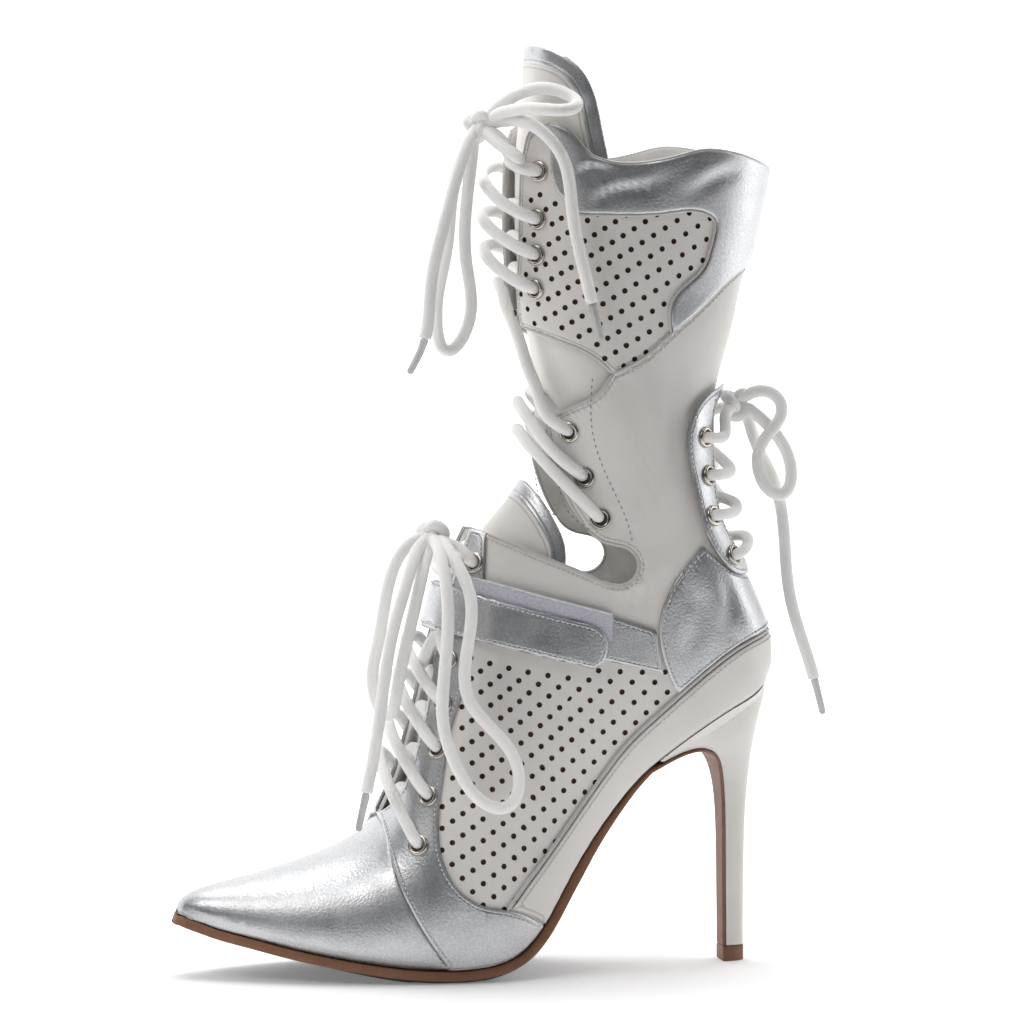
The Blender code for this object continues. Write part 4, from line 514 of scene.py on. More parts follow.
def along_edge(s0, s1, t, step=STEP):
    """Points on the surface along one t, about step apart and closer at the ends."""
    fine = np.linspace(s0, s1, 200)
    places = surface(fine, t, -1)
    run = run_along(places)
    count = max(2, math.ceil(run[-1] / step) + 1)
    stops = np.concatenate([np.linspace(0, run[-1], count), RIMS, run[-1] - np.array(RIMS)])
    stops = np.unique(np.clip(stops, 0, run[-1]).round(6))
    s = np.interp(stops, run, fine)
    return at_t(s, t)


def inside(points, outline):
    """Whether each point is inside a closed outline."""
    x, y = points[:, 0:1], points[:, 1:2]
    ax, ay = outline[:, 0], outline[:, 1]
    bx, by = np.roll(ax, -1), np.roll(ay, -1)
    with np.errstate(divide="ignore", invalid="ignore"):
        cut = ax + (y - ay) * (bx - ax) / (by - ay)
    hits = ((ay > y) != (by > y)) & (x < cut)
    return hits.sum(axis=1) % 2 == 1


def edge_t(s):
    """How far round the lower border of the sewn panels lies, a little above the sole and the seat."""
    s = np.asarray(s, float)
    row = SECTION_AT(s.ravel())
    half = norm(row[:, 0:2] - row[:, 2:4], axis=1) / 2
    c = (1 - EDGE_LIFT / (half * (1 + row[:, 7]))) ** (row[:, 9] / 2)
    last = SEAT_END + EDGE_PAST
    end = np.clip((s.ravel() - last + 4 * EDGE_PAST) / (4 * EDGE_PAST), 0, 1)
    return (np.pi - np.arccos(c) * np.sqrt(1 - end * end)).reshape(s.shape)


def panel_edge(s0, s1):
    """The panels' lower border between two sections."""
    line = along_edge(s0, s1, np.pi, STEP)
    line[:, 1] = edge_t(line[:, 0])
    return line


def to_edge(part):
    """A border that runs down towards the sole, stopped at the panels' lower border."""
    beyond = int(np.argmax(part[:, 1] > edge_t(part[:, 0])))
    for share in np.linspace(0, 1, 101):
        s, t = part[beyond - 1] + (part[beyond] - part[beyond - 1]) * share
        if t >= edge_t(s):
            break
    return np.vstack([part[:beyond], [(s, edge_t(s))]])


def to_back(part):
    """A border that ends on the line down the boot's back."""
    part = part.copy()
    part[-1, 1] = np.pi
    return part


def from_ridge(part):
    """A border that starts on the boot's front ridge."""
    part = part.copy()
    part[0, 1] = 0.0
    return part


def beside(points, dx, dz):
    """A side view border moved aside, in its own units."""
    return [(x + dx, z + dz) for x, z in points]


S_SCALE, T_SCALE = 0.013, 0.026  # metres for one section and for one radian, about
SCALE = np.array([S_SCALE, T_SCALE])


def unique_loop(parts):
    """Border parts joined end to end into one loop, without repeated points."""
    loop = np.vstack(parts)
    scaled = loop * (S_SCALE, T_SCALE)
    keep = [0]
    for i in range(1, len(loop)):
        if norm(scaled[i] - scaled[keep[-1]]) > 2e-4:
            keep.append(i)
    if norm(scaled[keep[-1]] - scaled[keep[0]]) < 2e-4:
        keep.pop()
    return loop[keep]


def seam_line():
    """The line on which the sole lies against the upper and then the heel, from the toe to the tip.

    Each row has the side view place, the half widths, lateral and medial, and the middle's y.
    """
    s = np.concatenate([[0.0], SOLE_ROWS[1:][SOLE_ROWS[1:] < SEAT_START - 0.2], [SEAT_START]])
    row = SECTION_AT(s)
    share = floor_share(s)
    upper_rows = np.column_stack([row[:, 2:4], row[:, 4] * share, row[:, 5] * share, row[:, 6]])
    rings = heel_rings()
    zero = np.zeros(len(rings))
    heel_rows = np.column_stack([rings[:, 0:2], rings[:, 4], rings[:, 4], zero])
    return np.vstack([upper_rows, heel_rows])


def heel_rings():
    """The heel's sections in metres: front, back and half width."""
    table = np.array(HEEL)
    half = table[:, 4] * BALL_WIDTH / 100
    rows = np.column_stack([side_view(table[:, 0:2]), side_view(table[:, 2:4]), half])
    knots = np.arange(len(rows), dtype=float)
    rings = smooth(knots, rows)(np.linspace(0, knots[-1], HEEL_RINGS))
    rings[-1, [1, 3]] = TIP_HEIGHT
    return rings


def across(line):
    """Unit directions at right angles to a side view line, to its right."""
    along = unit(np.gradient(line, axis=0))
    return np.column_stack([along[:, 1], -along[:, 0]])


def ridge_section(z):
    """The section whose front lies at a height of the side view."""
    return float(np.interp(float(height(z)), GRID_ROWS[:, 1], GRID))


SOLE_ROWS = along_edge(0.02, SEAT_END, np.pi, STEP * 0.8)[:, 0]
THROAT_LINE = from_ridge(border(THROAT, STEP * 0.8))
TAB_LINE = border(TAB_TOP)
RIM_LINE = to_back(border(COLLAR_RIM, STEP * 0.9))
VAMP_LINE = to_edge(np.vstack([THROAT_LINE[:1], border(VAMP_SEAM)[1:]]))
WING_LINE = to_edge(border(WING_SEAM))
WING_REAR_LINE = border(WING_REAR)
FOXING_TOP = to_back(border([FOXING_CORNER, *beside(PIPING[1:], PANEL_ROOM, -PANEL_ROOM)]))
FOXING_FRONT = to_edge(border([FOXING_CORNER, *beside(WING_SEAM[1:], PANEL_ROOM, PANEL_ROOM)]))
COUNTER_LOW = to_back(border(beside(PIPING[PIPING.index(COUNTER_AT) :], 0.0, PANEL_ROOM)))
COUNTER_LINE = np.vstack([COUNTER_LOW[:1], border(COUNTER_FRONT)[1:]])
COUNTER_TOP_LINE = to_back(border(COUNTER_TOP))
COLLAR_FRONT_LINE = border(COLLAR_FRONT)
COLLAR_LOW_LINE = border(COLLAR_LOW)
SHAFT_LINE = to_back(border(SHAFT_SEAM))
EDGE_END = SEAT_END + EDGE_PAST
LAYER = GAP + OVERLAY  # how far one sewn panel stands out
STRAP_LOW_OFF = LOOSE + OVERLAY + LOOSE  # the strap's inner face, over the ankle bands


def crease_lines():
    """The creases as points on the lateral face, with their depths, widths and sides."""
    found = []
    for points, deep, wide, side in CREASES:
        line = sampled(side_view(points), 0.004)
        found.append((line, deep * MM, wide * MM, side))
    return found


CREASE_LINES = crease_lines()


def relief(points, side):
    """How far the soft upper stands out of its plain form: slow swells and the main creases."""
    x, y, z = points[..., 0], points[..., 1], points[..., 2]
    soft = np.clip((z - 0.10) / 0.05, 0, 1)
    swell = np.sin(61 * x + 37 * z + 2 * y * 30) * np.sin(83 * z - 29 * x + 1.3)
    swell = swell + 0.6 * np.sin(140 * z + 52 * x + 40 * y) * np.sin(97 * x - 75 * z + 0.6)
    off = SWELL * soft * swell
    flat = np.stack([x, z], axis=-1).reshape(-1, 2)
    shape, side = off.shape, np.broadcast_to(side, off.shape).ravel()
    off = off.ravel()
    for line, deep, wide, on in CREASE_LINES:
        low, high = line.min(axis=0) - 4 * wide, line.max(axis=0) + 4 * wide
        near = np.flatnonzero(np.all((flat > low) & (flat < high), axis=1) & (on * side >= 0))
        if not len(near):
            continue
        a, b = line[:-1], line[1:]
        d = b - a
        to = flat[near, None] - a[None]
        share = np.clip(np.sum(to * d, axis=2) / np.sum(d * d, axis=1), 0, 1)
        gap = to - share[..., None] * d
        far = norm(gap, axis=2)
        k = far.argmin(axis=1)
        i = np.arange(len(near))
        along = (k + share[i, k]) / len(d)
        fade = np.sin(np.pi * np.clip(along, 0.02, 0.98)) ** 0.6
        turn = np.sign(d[k, 0] * gap[i, k, 1] - d[k, 1] * gap[i, k, 0])
        away = far[i, k] * turn / wide
        off[near] += deep * fade * (-np.exp(-(away**2)) + 0.7 * np.exp(-((away - 1.5) ** 2)))
    return off.reshape(shape)


def offset_point(s, t, side, off):
    """Points that stand off the creased face."""
    face = surface(s, t, side)
    side = np.where(np.asarray(t) < 0, -np.asarray(side), side)
    return face + outward(s, t, side) * (np.asarray(off, float) + relief(face, side))[..., None]


def off_face(line, side, off):
    """A line of the face on one side, as points that stand off it."""
    return offset_point(line[:, 0], line[:, 1], float(side), off)


def slopes(s, t, side=-1.0):
    """How the face runs with s and with t."""
    small = 1e-3
    t = np.clip(t, 2 * small, np.pi - 2 * small)
    after, before = np.minimum(s + small, LAST), np.maximum(s - small, 0.0)
    by_s = (surface(after, t, side) - surface(before, t, side)) / (after - before)[..., None]
    by_t = (surface(s, t + small, side) - surface(s, t - small, side)) / (2 * small)
    return by_s, by_t


def moved(line, by, frame_of=None):
    """Places on the face, moved by vectors that lie along it."""
    by_s, by_t = frame_of or slopes(line[:, 0], line[:, 1])
    ss, st, tt = (np.sum(a * b, axis=1) for a, b in ((by_s, by_s), (by_s, by_t), (by_t, by_t)))
    a, b = np.sum(by_s * by, axis=1), np.sum(by_t * by, axis=1)
    whole = np.maximum(ss * tt - st * st, 1e-14)
    step = np.column_stack([(a * tt - b * st) / whole, (b * ss - a * st) / whole])
    return np.clip(line + step, [0.0, 0.0], [LAST, np.pi])


def aside(line, far):
    """A line moved sideways over the face by so many metres, to its left for a positive one."""
    by_s, by_t = slopes(line[:, 0], line[:, 1])
    way = np.gradient(line, axis=0)
    along = by_s * way[:, :1] + by_t * way[:, 1:]
    left = unit(np.cross(np.cross(by_s, by_t), along))
    return moved(line, left * far, (by_s, by_t))


def finely(points, step):
    """Points about step apart along a line in space."""
    run = run_along(points)
    at = np.linspace(0, run[-1], max(2, math.ceil(run[-1] / step) + 1))
    return np.column_stack([np.interp(at, run, points[:, k]) for k in range(points.shape[1])])


def searchable(points):
    """A tree that finds the points near a place."""
    tree = KDTree(len(points))
    for i, p in enumerate(points):
        tree.insert(p, i)
    tree.balance()
    return tree


def distances(points, lines):
    """How far each point in space is from the nearest of the lines."""
    tree = searchable(np.vstack([finely(line, FINE) for line in lines]))
    return np.array([tree.find(p)[2] for p in points])


def lateral(line):
    """Places of the lateral face in space, without creases."""
    return surface(line[:, 0], line[:, 1], -1.0)


def lattice(step):
    """Places all over half the face, about step apart."""
    found, s = [], 0.2
    while s < LAST:
        ring = surface(s, np.linspace(0, np.pi, 60), -1)
        round_it = float(norm(np.diff(ring, axis=0), axis=1).sum())
        count = max(3, math.ceil(round_it / step))
        shift = 0.5 * (len(found) % 2)
        found += [(s, np.pi * (k + shift) / count) for k in range(1, count)]
        row, after = SECTION_AT(s)[0], SECTION_AT(min(s + 0.05, LAST))[0]
        far = max(norm(after[0:2] - row[0:2]), norm(after[2:4] - row[2:4]))
        s += min(0.05 * step / max(float(far), 1e-9), 0.6)
    return np.array(found)


LATTICE = lattice(STEP)


def edge_parts(loop):
    """The stretches of a loop that are real edges, and not the ridge, the back or the toe's tip."""
    at_back = (loop[:, 1] > np.pi - 1e-9) & (floor_share(loop[:, 0]) <= 0)
    shared = (loop[:, 1] < 1e-9) | (loop[:, 0] < 1e-9) | at_back
    closed, shared = np.vstack([loop, loop[:1]]), np.append(shared, shared[0])
    parts, run = [], []
    for i in range(len(closed) - 1):
        if shared[i] and shared[i + 1]:
            parts.append(run)
            run = []
            continue
        run = run or [closed[i]]
        run.append(closed[i + 1])
    parts.append(run)
    return [np.array(part) for part in parts if len(part) > 1]


def stretches(line, good, least):
    """The runs of a line's points that are good, longer than the least count."""
    ends = np.flatnonzero(np.diff(np.concatenate([[0], good.astype(int), [0]])))
    return [line[a:b] for a, b in zip(ends[::2], ends[1::2], strict=True) if b - a > least]


def sewn(edges):
    """The stretches of edges that are sewn, without those along the sole."""
    found = []
    for edge in edges:
        foot = lateral(at_t(edge[:, 0], np.pi))
        high = (norm(lateral(edge) - foot, axis=1) > 0.0030) | (floor_share(edge[:, 0]) <= 0)
        found += stretches(edge, high, 1)
    return found


def within(places, loop):
    """Whether each place lies inside a loop."""
    return inside(places * SCALE, loop * SCALE)


def rows_beside(edges, loop, limit):
    """Rows of places inside a loop, beside its edges."""
    solid = [lateral(edge) for edge in edges]
    found = []
    for far in RIMS:
        if far > limit:
            continue
        row = np.vstack([aside(edge, way) for edge in edges for way in (far, -far)])
        row = row[within(row, loop)]
        if len(row):
            row = row[distances(lateral(row), solid) > 0.93 * far]
        found.append(row)
    return np.vstack(found)


def spread(places, apart):
    """The places without those that lie too near to an earlier one."""
    points = lateral(places)
    tree = searchable(points)
    keep = np.ones(len(points), bool)
    for i, p in enumerate(points):
        if keep[i]:
            for _, k, _ in tree.find_range(p, apart):
                if k > i:
                    keep[k] = False
    return places[keep]


def filled(loop, edges, lines, holes, limit):
    """(s, t) places, triangles, and which of them fill a hole, for a loop on half the face."""
    free = LATTICE[within(LATTICE, loop)]
    beside_edges = rows_beside(edges, loop, limit)
    far = distances(lateral(free), [lateral(edge) for edge in edges])
    free = free[far > limit + 0.55 * STEP]
    free = spread(np.vstack([beside_edges, free]), 0.0003)
    if lines:
        free = free[distances(lateral(free), [lateral(line) for line in lines]) > 0.25 * STEP]
    if len(holes):
        tree = searchable(lateral(holes.mean(axis=1)))
        near = np.array([tree.find(p)[2] for p in lateral(free)])
        free = free[near > PUNCHED]
    every, links, count = [loop], [], len(loop)
    owner = [np.full(len(loop), -1)]
    for line in lines:
        every.append(line)
        owner.append(np.full(len(line), -1))
        links += [(count + i, count + i + 1) for i in range(len(line) - 1)]
        count += len(line)
    for k, ring in enumerate(holes):
        every.append(ring)
        owner.append(np.full(len(ring), k))
        links += [(count + i, count + (i + 1) % len(ring)) for i in range(len(ring))]
        count += len(ring)
    owner = np.concatenate([*owner, np.full(len(free), -1)])
    flat = [Vector(p) for p in np.vstack([*every, free]) * SCALE]
    verts, _, faces, own, *_ = delaunay_2d_cdt(flat, links, [list(range(len(loop)))], 1, 1e-7)
    places = np.array([tuple(v) for v in verts]) / SCALE
    for column, value in ((0, 0.0), (1, 0.0), (1, np.pi)):
        places[np.abs(places[:, column] - value) < 1e-5, column] = value
    held = np.array([owner[ids[0]] if len(ids) and ids[0] < len(owner) else -1 for ids in own])
    faces = np.array([tuple(f) for f in faces])
    of = held[faces]
    punched = (of[:, 0] >= 0) & (of[:, 0] == of[:, 1]) & (of[:, 1] == of[:, 2])
    return places, faces, punched


def linked(name, data):
    """A new object in the scene."""
    thing = bpy.data.objects.new(name, data)
    bpy.context.scene.collection.objects.link(thing)
    return thing


def built(name, points, faces, coats, of_face=None, rim=None):
    """A piece from points and faces, doubles merged, faces outwards, with a material for each face."""
    mesh = bpy.data.meshes.new(name)
    mesh.from_pydata([tuple(p) for p in points], [], [tuple(f) for f in faces])
    for coat in coats:
        mesh.materials.append(coat)
    if of_face is not None:
        mesh.polygons.foreach_set("material_index", np.asarray(of_face, np.int32))
    if rim is not None:
        mesh.attributes.new("rim", "FLOAT", "POINT").data.foreach_set("value", np.asarray(rim, np.float32))
    work = bmesh.new()
    work.from_mesh(mesh)
    bmesh.ops.remove_doubles(work, verts=work.verts, dist=2e-6)
    bmesh.ops.dissolve_degenerate(work, edges=work.edges, dist=1e-6)
    bmesh.ops.recalc_face_normals(work, faces=work.faces)
    work.to_mesh(mesh)
    work.free()
    mesh.shade_smooth()
    mesh.set_sharp_from_angle(angle=math.radians(50))
    return linked(name, mesh)


def panel(name, loop, low, high, coats, sides=(-1, 1), sink=None, lines=(), holes=(), paint=None,
          seams=None, stitched=True):
    """A piece between two offsets of the creased face, inside a loop, on one side or both.

    coats are the outer material, the inner one and any that paint chooses by place. seams are the lines
    that show as edges, with a groove where the piece is stitched, or else the loop's sewn edges.
    """
    edges = edge_parts(loop)
    places, faces, punched = filled(loop, edges, lines, holes, RIMS[-1])
    count = len(places)
    seams = sewn(edges) if seams is None else seams
    # rim, the distance to the seams, rounds and grooves the finishes and also paints shade along the edges and
    # the stitches' groove.
    rim = distances(lateral(places), [lateral(line) for line in seams]) if seams else np.full(count, 0.02)
    rim = rim if stitched else np.minimum(rim, STITCH_IN - GROOVE)
    edge = distances(lateral(places), [lateral(line) for line in edges])
    x = np.clip(edge / ROUNDED, 0, 1)
    bevel = (high - low) * 0.45 * (1 - np.sqrt(1 - (1 - x) ** 2))
    drop = sink(places) if sink else 0.0
    points, triangles, of_face = [], [], []
    for side in sides:
        for off in (high - bevel, low + bevel * 0.3):
            points.append(off_face(places, side, off - drop))
    points = np.vstack(points)
    tip = places[:, 0] == 0
    shared = (places[:, 1] == 0) | tip | ((places[:, 1] == np.pi) & (floor_share(places[:, 0]) <= 0))
    own = np.where(tip, int(np.argmin(places[:, 0])), np.arange(count))
    twin = np.concatenate([own + k * count for k in range(2 * len(sides))])
    for k in range(1, len(sides)):
        for layer in (0, 1):
            there = (2 * k + layer) * count + np.flatnonzero(shared)
            twin[there] = own[shared] + layer * count
    points = points[twin]
    chosen = paint(places[faces].mean(axis=1)) if paint else np.zeros(len(faces), int)
    used = {}
    for k in range(len(sides)):
        for f, hole, coat in zip(faces.tolist(), punched, chosen, strict=True):
            outer = [2 * k * count + i for i in f]
            if not hole:
                triangles.append(outer)
                of_face.append(coat)
            triangles.append([i + count for i in outer][::-1])
            of_face.append(1)
            for a, b in zip(outer, outer[1:] + outer[:1], strict=True):
                used.setdefault((min(twin[a], twin[b]), max(twin[a], twin[b])), []).append((a, b, coat))
    for (p, q), ways in used.items():
        if len(ways) == 1 and p != q:
            a, b, coat = ways[0]
            triangles.append([b, a, a + count, b + count])
            of_face.append(coat)
    return built(name, points, triangles, coats, of_face, np.tile(rim, 2 * len(sides)))


def place(s, t, off):
    """One point off the creased face, where a t below zero is on the medial side."""
    return offset_point(np.array([s]), np.array([abs(t)]), 1.0 if t < 0 else -1.0, np.array([off]))[0]


def both_sides(table):
    """Side view places as (s, t) on the lateral and on the medial side."""
    lateral = to_surface(side_view(table))
    return lateral, lateral * (1, -1)


def curve(points, step):
    """A smooth line through points in space, with points about step apart."""
    return finely(sampled(np.asarray(points, float), step / 4), step)


def tube(name, path, radius, coat, sides=14, round_ends=True):
    """A round piece along a path, with its width and length as a UV map in metres."""
    path = np.asarray(path, float)
    radius = np.broadcast_to(np.asarray(radius, float), len(path)).copy()
    if round_ends:
        for k, share in enumerate((0.45, 0.8, 0.96)):
            radius[k] *= share
            radius[-1 - k] *= share
    along = unit(np.gradient(path, axis=0))
    run = run_along(path)
    across_it = np.cross(along[0], [0.3, 0.5, 0.81])
    points, faces, spots = [], [], []
    angles = 2 * np.pi * np.arange(sides) / sides
    for at, way, r in zip(path, along, radius, strict=True):
        across_it = unit(across_it - way * np.dot(across_it, way))
        third = np.cross(way, across_it)
        points.append(at + r * (np.cos(angles)[:, None] * across_it + np.sin(angles)[:, None] * third))
    for r in range(len(path) - 1):
        for k in range(sides):
            after = (k + 1) % sides
            faces.append([r * sides + k, r * sides + after, (r + 1) * sides + after, (r + 1) * sides + k])
            spots += [(k, r), (k + 1, r), (k + 1, r + 1), (k, r + 1)]
    last = (len(path) - 1) * sides
    faces += [list(range(sides))[::-1], [last + k for k in range(sides)]]
    spots += [(k, 0) for k in range(sides)][::-1] + [(k, len(path) - 1) for k in range(sides)]
    mesh = bpy.data.meshes.new(name)
    mesh.from_pydata(np.vstack(points).tolist(), [], faces)
    layer = mesh.uv_layers.new(name="UVMap")
    girth = 2 * np.pi * float(radius.max()) / sides
    layer.data.foreach_set("uv", np.array([(k * girth, run[r]) for k, r in spots], np.float32).ravel())
    mesh.materials.append(coat)
    mesh.shade_smooth()
    return linked(name, mesh)


def merged(name, things):
    """Several pieces as one, with their UV maps."""
    coats = []
    for thing in things:
        for coat in thing.data.materials:
            if coat not in coats:
                coats.append(coat)
    work = bmesh.new()
    for thing in things:
        first = len(work.faces)
        work.from_mesh(thing.data)
        work.faces.ensure_lookup_table()
        own = [coats.index(coat) for coat in thing.data.materials]
        for k in range(first, len(work.faces)):
            work.faces[k].material_index = own[work.faces[k].material_index]
    mesh = bpy.data.meshes.new(name)
    work.to_mesh(mesh)
    work.free()
    for coat in coats:
        mesh.materials.append(coat)
    for thing in things:
        old = thing.data
        bpy.data.objects.remove(thing)
        bpy.data.meshes.remove(old)
    return linked(name, mesh)


def bead(name, lines, radius, off, coat, sides=(-1, 1), width=8):
    """Thin rolled edges along lines of the face."""
    things = []
    for line in lines:
        for side in sides:
            path = off_face(line, side, off)
            things.append(tube(name, finely(path, ROLL_STEP), radius, coat, width))
    return merged(name, things)


def repeated(name, spots, shape, sizes, coat):
    """One small shape on each spot, made by geometry nodes: spots are (place, along, outward)."""
    base = bpy.data.meshes.new(name)
    base.from_pydata([tuple(p) for p, _, _ in spots], [], [])
    turns = []
    for _, along, up in spots:
        up = unit(np.asarray(up))
        along = unit(np.asarray(along) - up * np.dot(along, up))
        turns.append(Matrix(np.column_stack([along, np.cross(up, along), up]).tolist()).to_euler())
    turn = base.attributes.new("turn", "FLOAT_VECTOR", "POINT")
    turn.data.foreach_set("vector", np.array([tuple(e) for e in turns], np.float32).ravel())
    thing = linked(name, base)
    tree = bpy.data.node_groups.new(name, "GeometryNodeTree")
    tree.is_modifier = True
    tree.interface.new_socket("Geometry", in_out="INPUT", socket_type="NodeSocketGeometry")
    tree.interface.new_socket("Geometry", in_out="OUTPUT", socket_type="NodeSocketGeometry")
    for word in sizes:
        tree.interface.new_socket(word, in_out="INPUT", socket_type="NodeSocketFloat").subtype = "DISTANCE"
    start, end = add(tree, "NodeGroupInput"), add(tree, "NodeGroupOutput")
    piece = shape(tree, start)
    named = add(tree, "GeometryNodeInputNamedAttribute", {"Name": "turn"}, data_type="FLOAT_VECTOR")
    turned = add(tree, "FunctionNodeEulerToRotation", links={"Euler": named.outputs["Attribute"]})
    scatter = add(tree, "GeometryNodeInstanceOnPoints", links={
        "Points": start.outputs["Geometry"], "Instance": piece, "Rotation": turned.outputs["Rotation"]})
    real = add(tree, "GeometryNodeRealizeInstances", links={"Geometry": scatter.outputs["Instances"]})
    even = add(tree, "GeometryNodeSetShadeSmooth", links={"Geometry": real.outputs["Geometry"]})
    coated = add(tree, "GeometryNodeSetMaterial", {"Material": coat}, {"Geometry": even.outputs["Geometry"]})
    tree.links.new(coated.outputs["Geometry"], end.inputs["Geometry"])
    modifier = thing.modifiers.new("repeat", "NODES")
    modifier.node_group = tree
    for item in tree.interface.items_tree:
        if item.in_out == "INPUT" and item.name in sizes:
            modifier[item.identifier] = float(sizes[item.name])
    bpy.context.view_layer.update()
    mesh = bpy.data.meshes.new_from_object(thing.evaluated_get(bpy.context.evaluated_depsgraph_get()))
    thing.modifiers.clear()
    thing.data = mesh
    mesh.name = name
    return thing


def add(tree, kind, values=None, links=None, **settings):
    """A node with its settings, its values and its links."""
    node = tree.nodes.new(kind)
    for word, value in settings.items():
        setattr(node, word, value)
    for word, value in (values or {}).items():
        node.inputs[word].default_value = value
    for word, socket in (links or {}).items():
        tree.links.new(socket, node.inputs[word])
    return node


def capsule(tree, start):
    """A thread between its two holes: a long flat bead."""
    ball = add(tree, "GeometryNodeMeshUVSphere", {"Segments": 6, "Rings": 4, "Radius": 0.5})
    size = add(tree, "ShaderNodeCombineXYZ", links={
        "X": start.outputs["Length"], "Y": start.outputs["Width"], "Z": start.outputs["Height"]})
    return add(tree, "GeometryNodeTransform", links={
        "Geometry": ball.outputs["Mesh"], "Scale": size.outputs["Vector"]}).outputs["Geometry"]


def well(tree, start):
    """A punched hole's wall and floor."""
    disc = add(tree, "GeometryNodeMeshCircle", {"Vertices": 14}, {"Radius": start.outputs["Radius"]},
               fill_type="NGON")
    deep = add(tree, "GeometryNodeExtrudeMesh", {"Individual": False}, {
        "Mesh": disc.outputs["Mesh"], "Offset Scale": start.outputs["Depth"]})
    down = add(tree, "ShaderNodeCombineXYZ", {"X": 0.0, "Y": 0.0, "Z": -1.0})
    tree.links.new(down.outputs["Vector"], deep.inputs["Offset"])
    return add(tree, "GeometryNodeFlipFaces", links={"Mesh": deep.outputs["Mesh"]}).outputs["Mesh"]


def ring(tree, start):
    """An eyelet's domed rim."""
    path, edge = (add(tree, "GeometryNodeCurvePrimitiveCircle", {"Resolution": points},
                      {"Radius": start.outputs[word]})
                  for word, points in (("Radius", 32), ("Thickness", 10)))
    return add(tree, "GeometryNodeCurveToMesh", links={
        "Curve": path.outputs["Curve"], "Profile Curve": edge.outputs["Curve"]}).outputs["Mesh"]


def spots_along(line, pitch, off):
    """Spots for stitches, pitch apart along a line of the face: place, along and outward."""
    found = []
    for side in (-1, 1):
        face = off_face(line, side, off)
        run = run_along(face)
        at = np.arange(pitch / 2, run[-1], pitch)
        s, t = np.interp(at, run, line[:, 0]), np.interp(at, run, line[:, 1])
        middle = offset_point(s, t, float(side), np.full(len(at), off))
        along = np.column_stack([np.interp(at + 3e-4, run, face[:, k]) - np.interp(at - 3e-4, run, face[:, k])
                                 for k in range(3)])
        up = outward(s, t, float(side))
        found += [(p, a, n) for p, a, n in zip(middle, along, up, strict=True) if norm(a) > 1e-9]
    return found


def linear(colour):
    """An sRGB hex colour as linear light."""
    parts = [int(colour[i : i + 2], 16) / 255 for i in (0, 2, 4)]
    return tuple(p / 12.92 if p <= 0.04045 else ((p + 0.055) / 1.055) ** 2.4 for p in parts)


SHADE = {"subtype": "COLOR", "size": 3, "min": 0, "max": 1}


class BootSettings(PropertyGroup):
    """Sizes and colours that a user would change"""

    silver: FloatVectorProperty(
        name="Foil", description="Colour of the silver foil leather", default=linear("D4D5D7"), **SHADE)
    white: FloatVectorProperty(
        name="White leather", description="Colour of the white leather", default=linear("E4E1DD"), **SHADE)
    brown: FloatVectorProperty(
        name="Sole", description="Colour of the sole and the heel tip", default=linear("8A5F43"), **SHADE)
    cord: FloatVectorProperty(
        name="Laces", description="Colour of the laces", default=linear("FCFBF9"), **SHADE)
    lace: FloatProperty(
        name="Lace", description="Diameter of the laces", default=LACE, unit="LENGTH", min=0.002, max=0.008)
    punch: FloatProperty(
        name="Perforation", description="Diameter of a punched hole", default=0.0021, unit="LENGTH",
        min=0.001, max=0.003)
    stitch: FloatProperty(
        name="Stitch", description="Length of a stitch", default=0.0014, unit="LENGTH", min=0.001, max=0.005)
    pebble: FloatProperty(
        name="Grain", description="Width of the foil leather's pebbles", default=0.0008, unit="LENGTH",
        min=0.0005, max=0.005)


def finish(name, colour, roughness, metallic=0.0, **values):
    """A material with its shader's own values, its tree and its shader."""
    new = bpy.data.materials.new(name)
    new.use_nodes = True
    shader = new.node_tree.nodes["Principled BSDF"]
    shader.inputs["Base Color"].default_value = (*colour, 1)
    shader.inputs["Roughness"].default_value = roughness
    shader.inputs["Metallic"].default_value = metallic
    for word, value in values.items():
        shader.inputs[word.replace("_", " ")].default_value = value
    return new, new.node_tree, shader


def level(tree, value, low, high, to_low=0.0, to_high=1.0, smooth_it=True):
    """A value that runs from one level to another."""
    kind = "SMOOTHSTEP" if smooth_it else "LINEAR"
    return add(tree, "ShaderNodeMapRange", {
        "From Min": low, "From Max": high, "To Min": to_low, "To Max": to_high}, {"Value": value},
        interpolation_type=kind).outputs["Result"]


def combined(tree, operation, *values):
    """Several values added or multiplied, or the greatest of them."""
    result = values[0]
    for value in values[1:]:
        node = add(tree, "ShaderNodeMath", links={0: result, 1: value}, operation=operation)
        result = node.outputs["Value"]
    return result


def noise(tree, where, size, low, high, detail=3.0):
    """Cloudy variation with spots of about a size, between two levels."""
    cloud = add(tree, "ShaderNodeTexNoise", {"Scale": 1 / size, "Detail": detail}, {"Vector": where})
    return level(tree, cloud.outputs["Fac"], 0.3, 0.7, low, high, False)


def bumped(tree, shader, heights):
    """Heights in millimetres as a bump on the shader."""
    height_of = combined(tree, "ADD", *heights)
    bump = add(tree, "ShaderNodeBump", {"Strength": 1.0, "Distance": MM}, {"Height": height_of})
    tree.links.new(bump.outputs["Normal"], shader.inputs["Normal"])


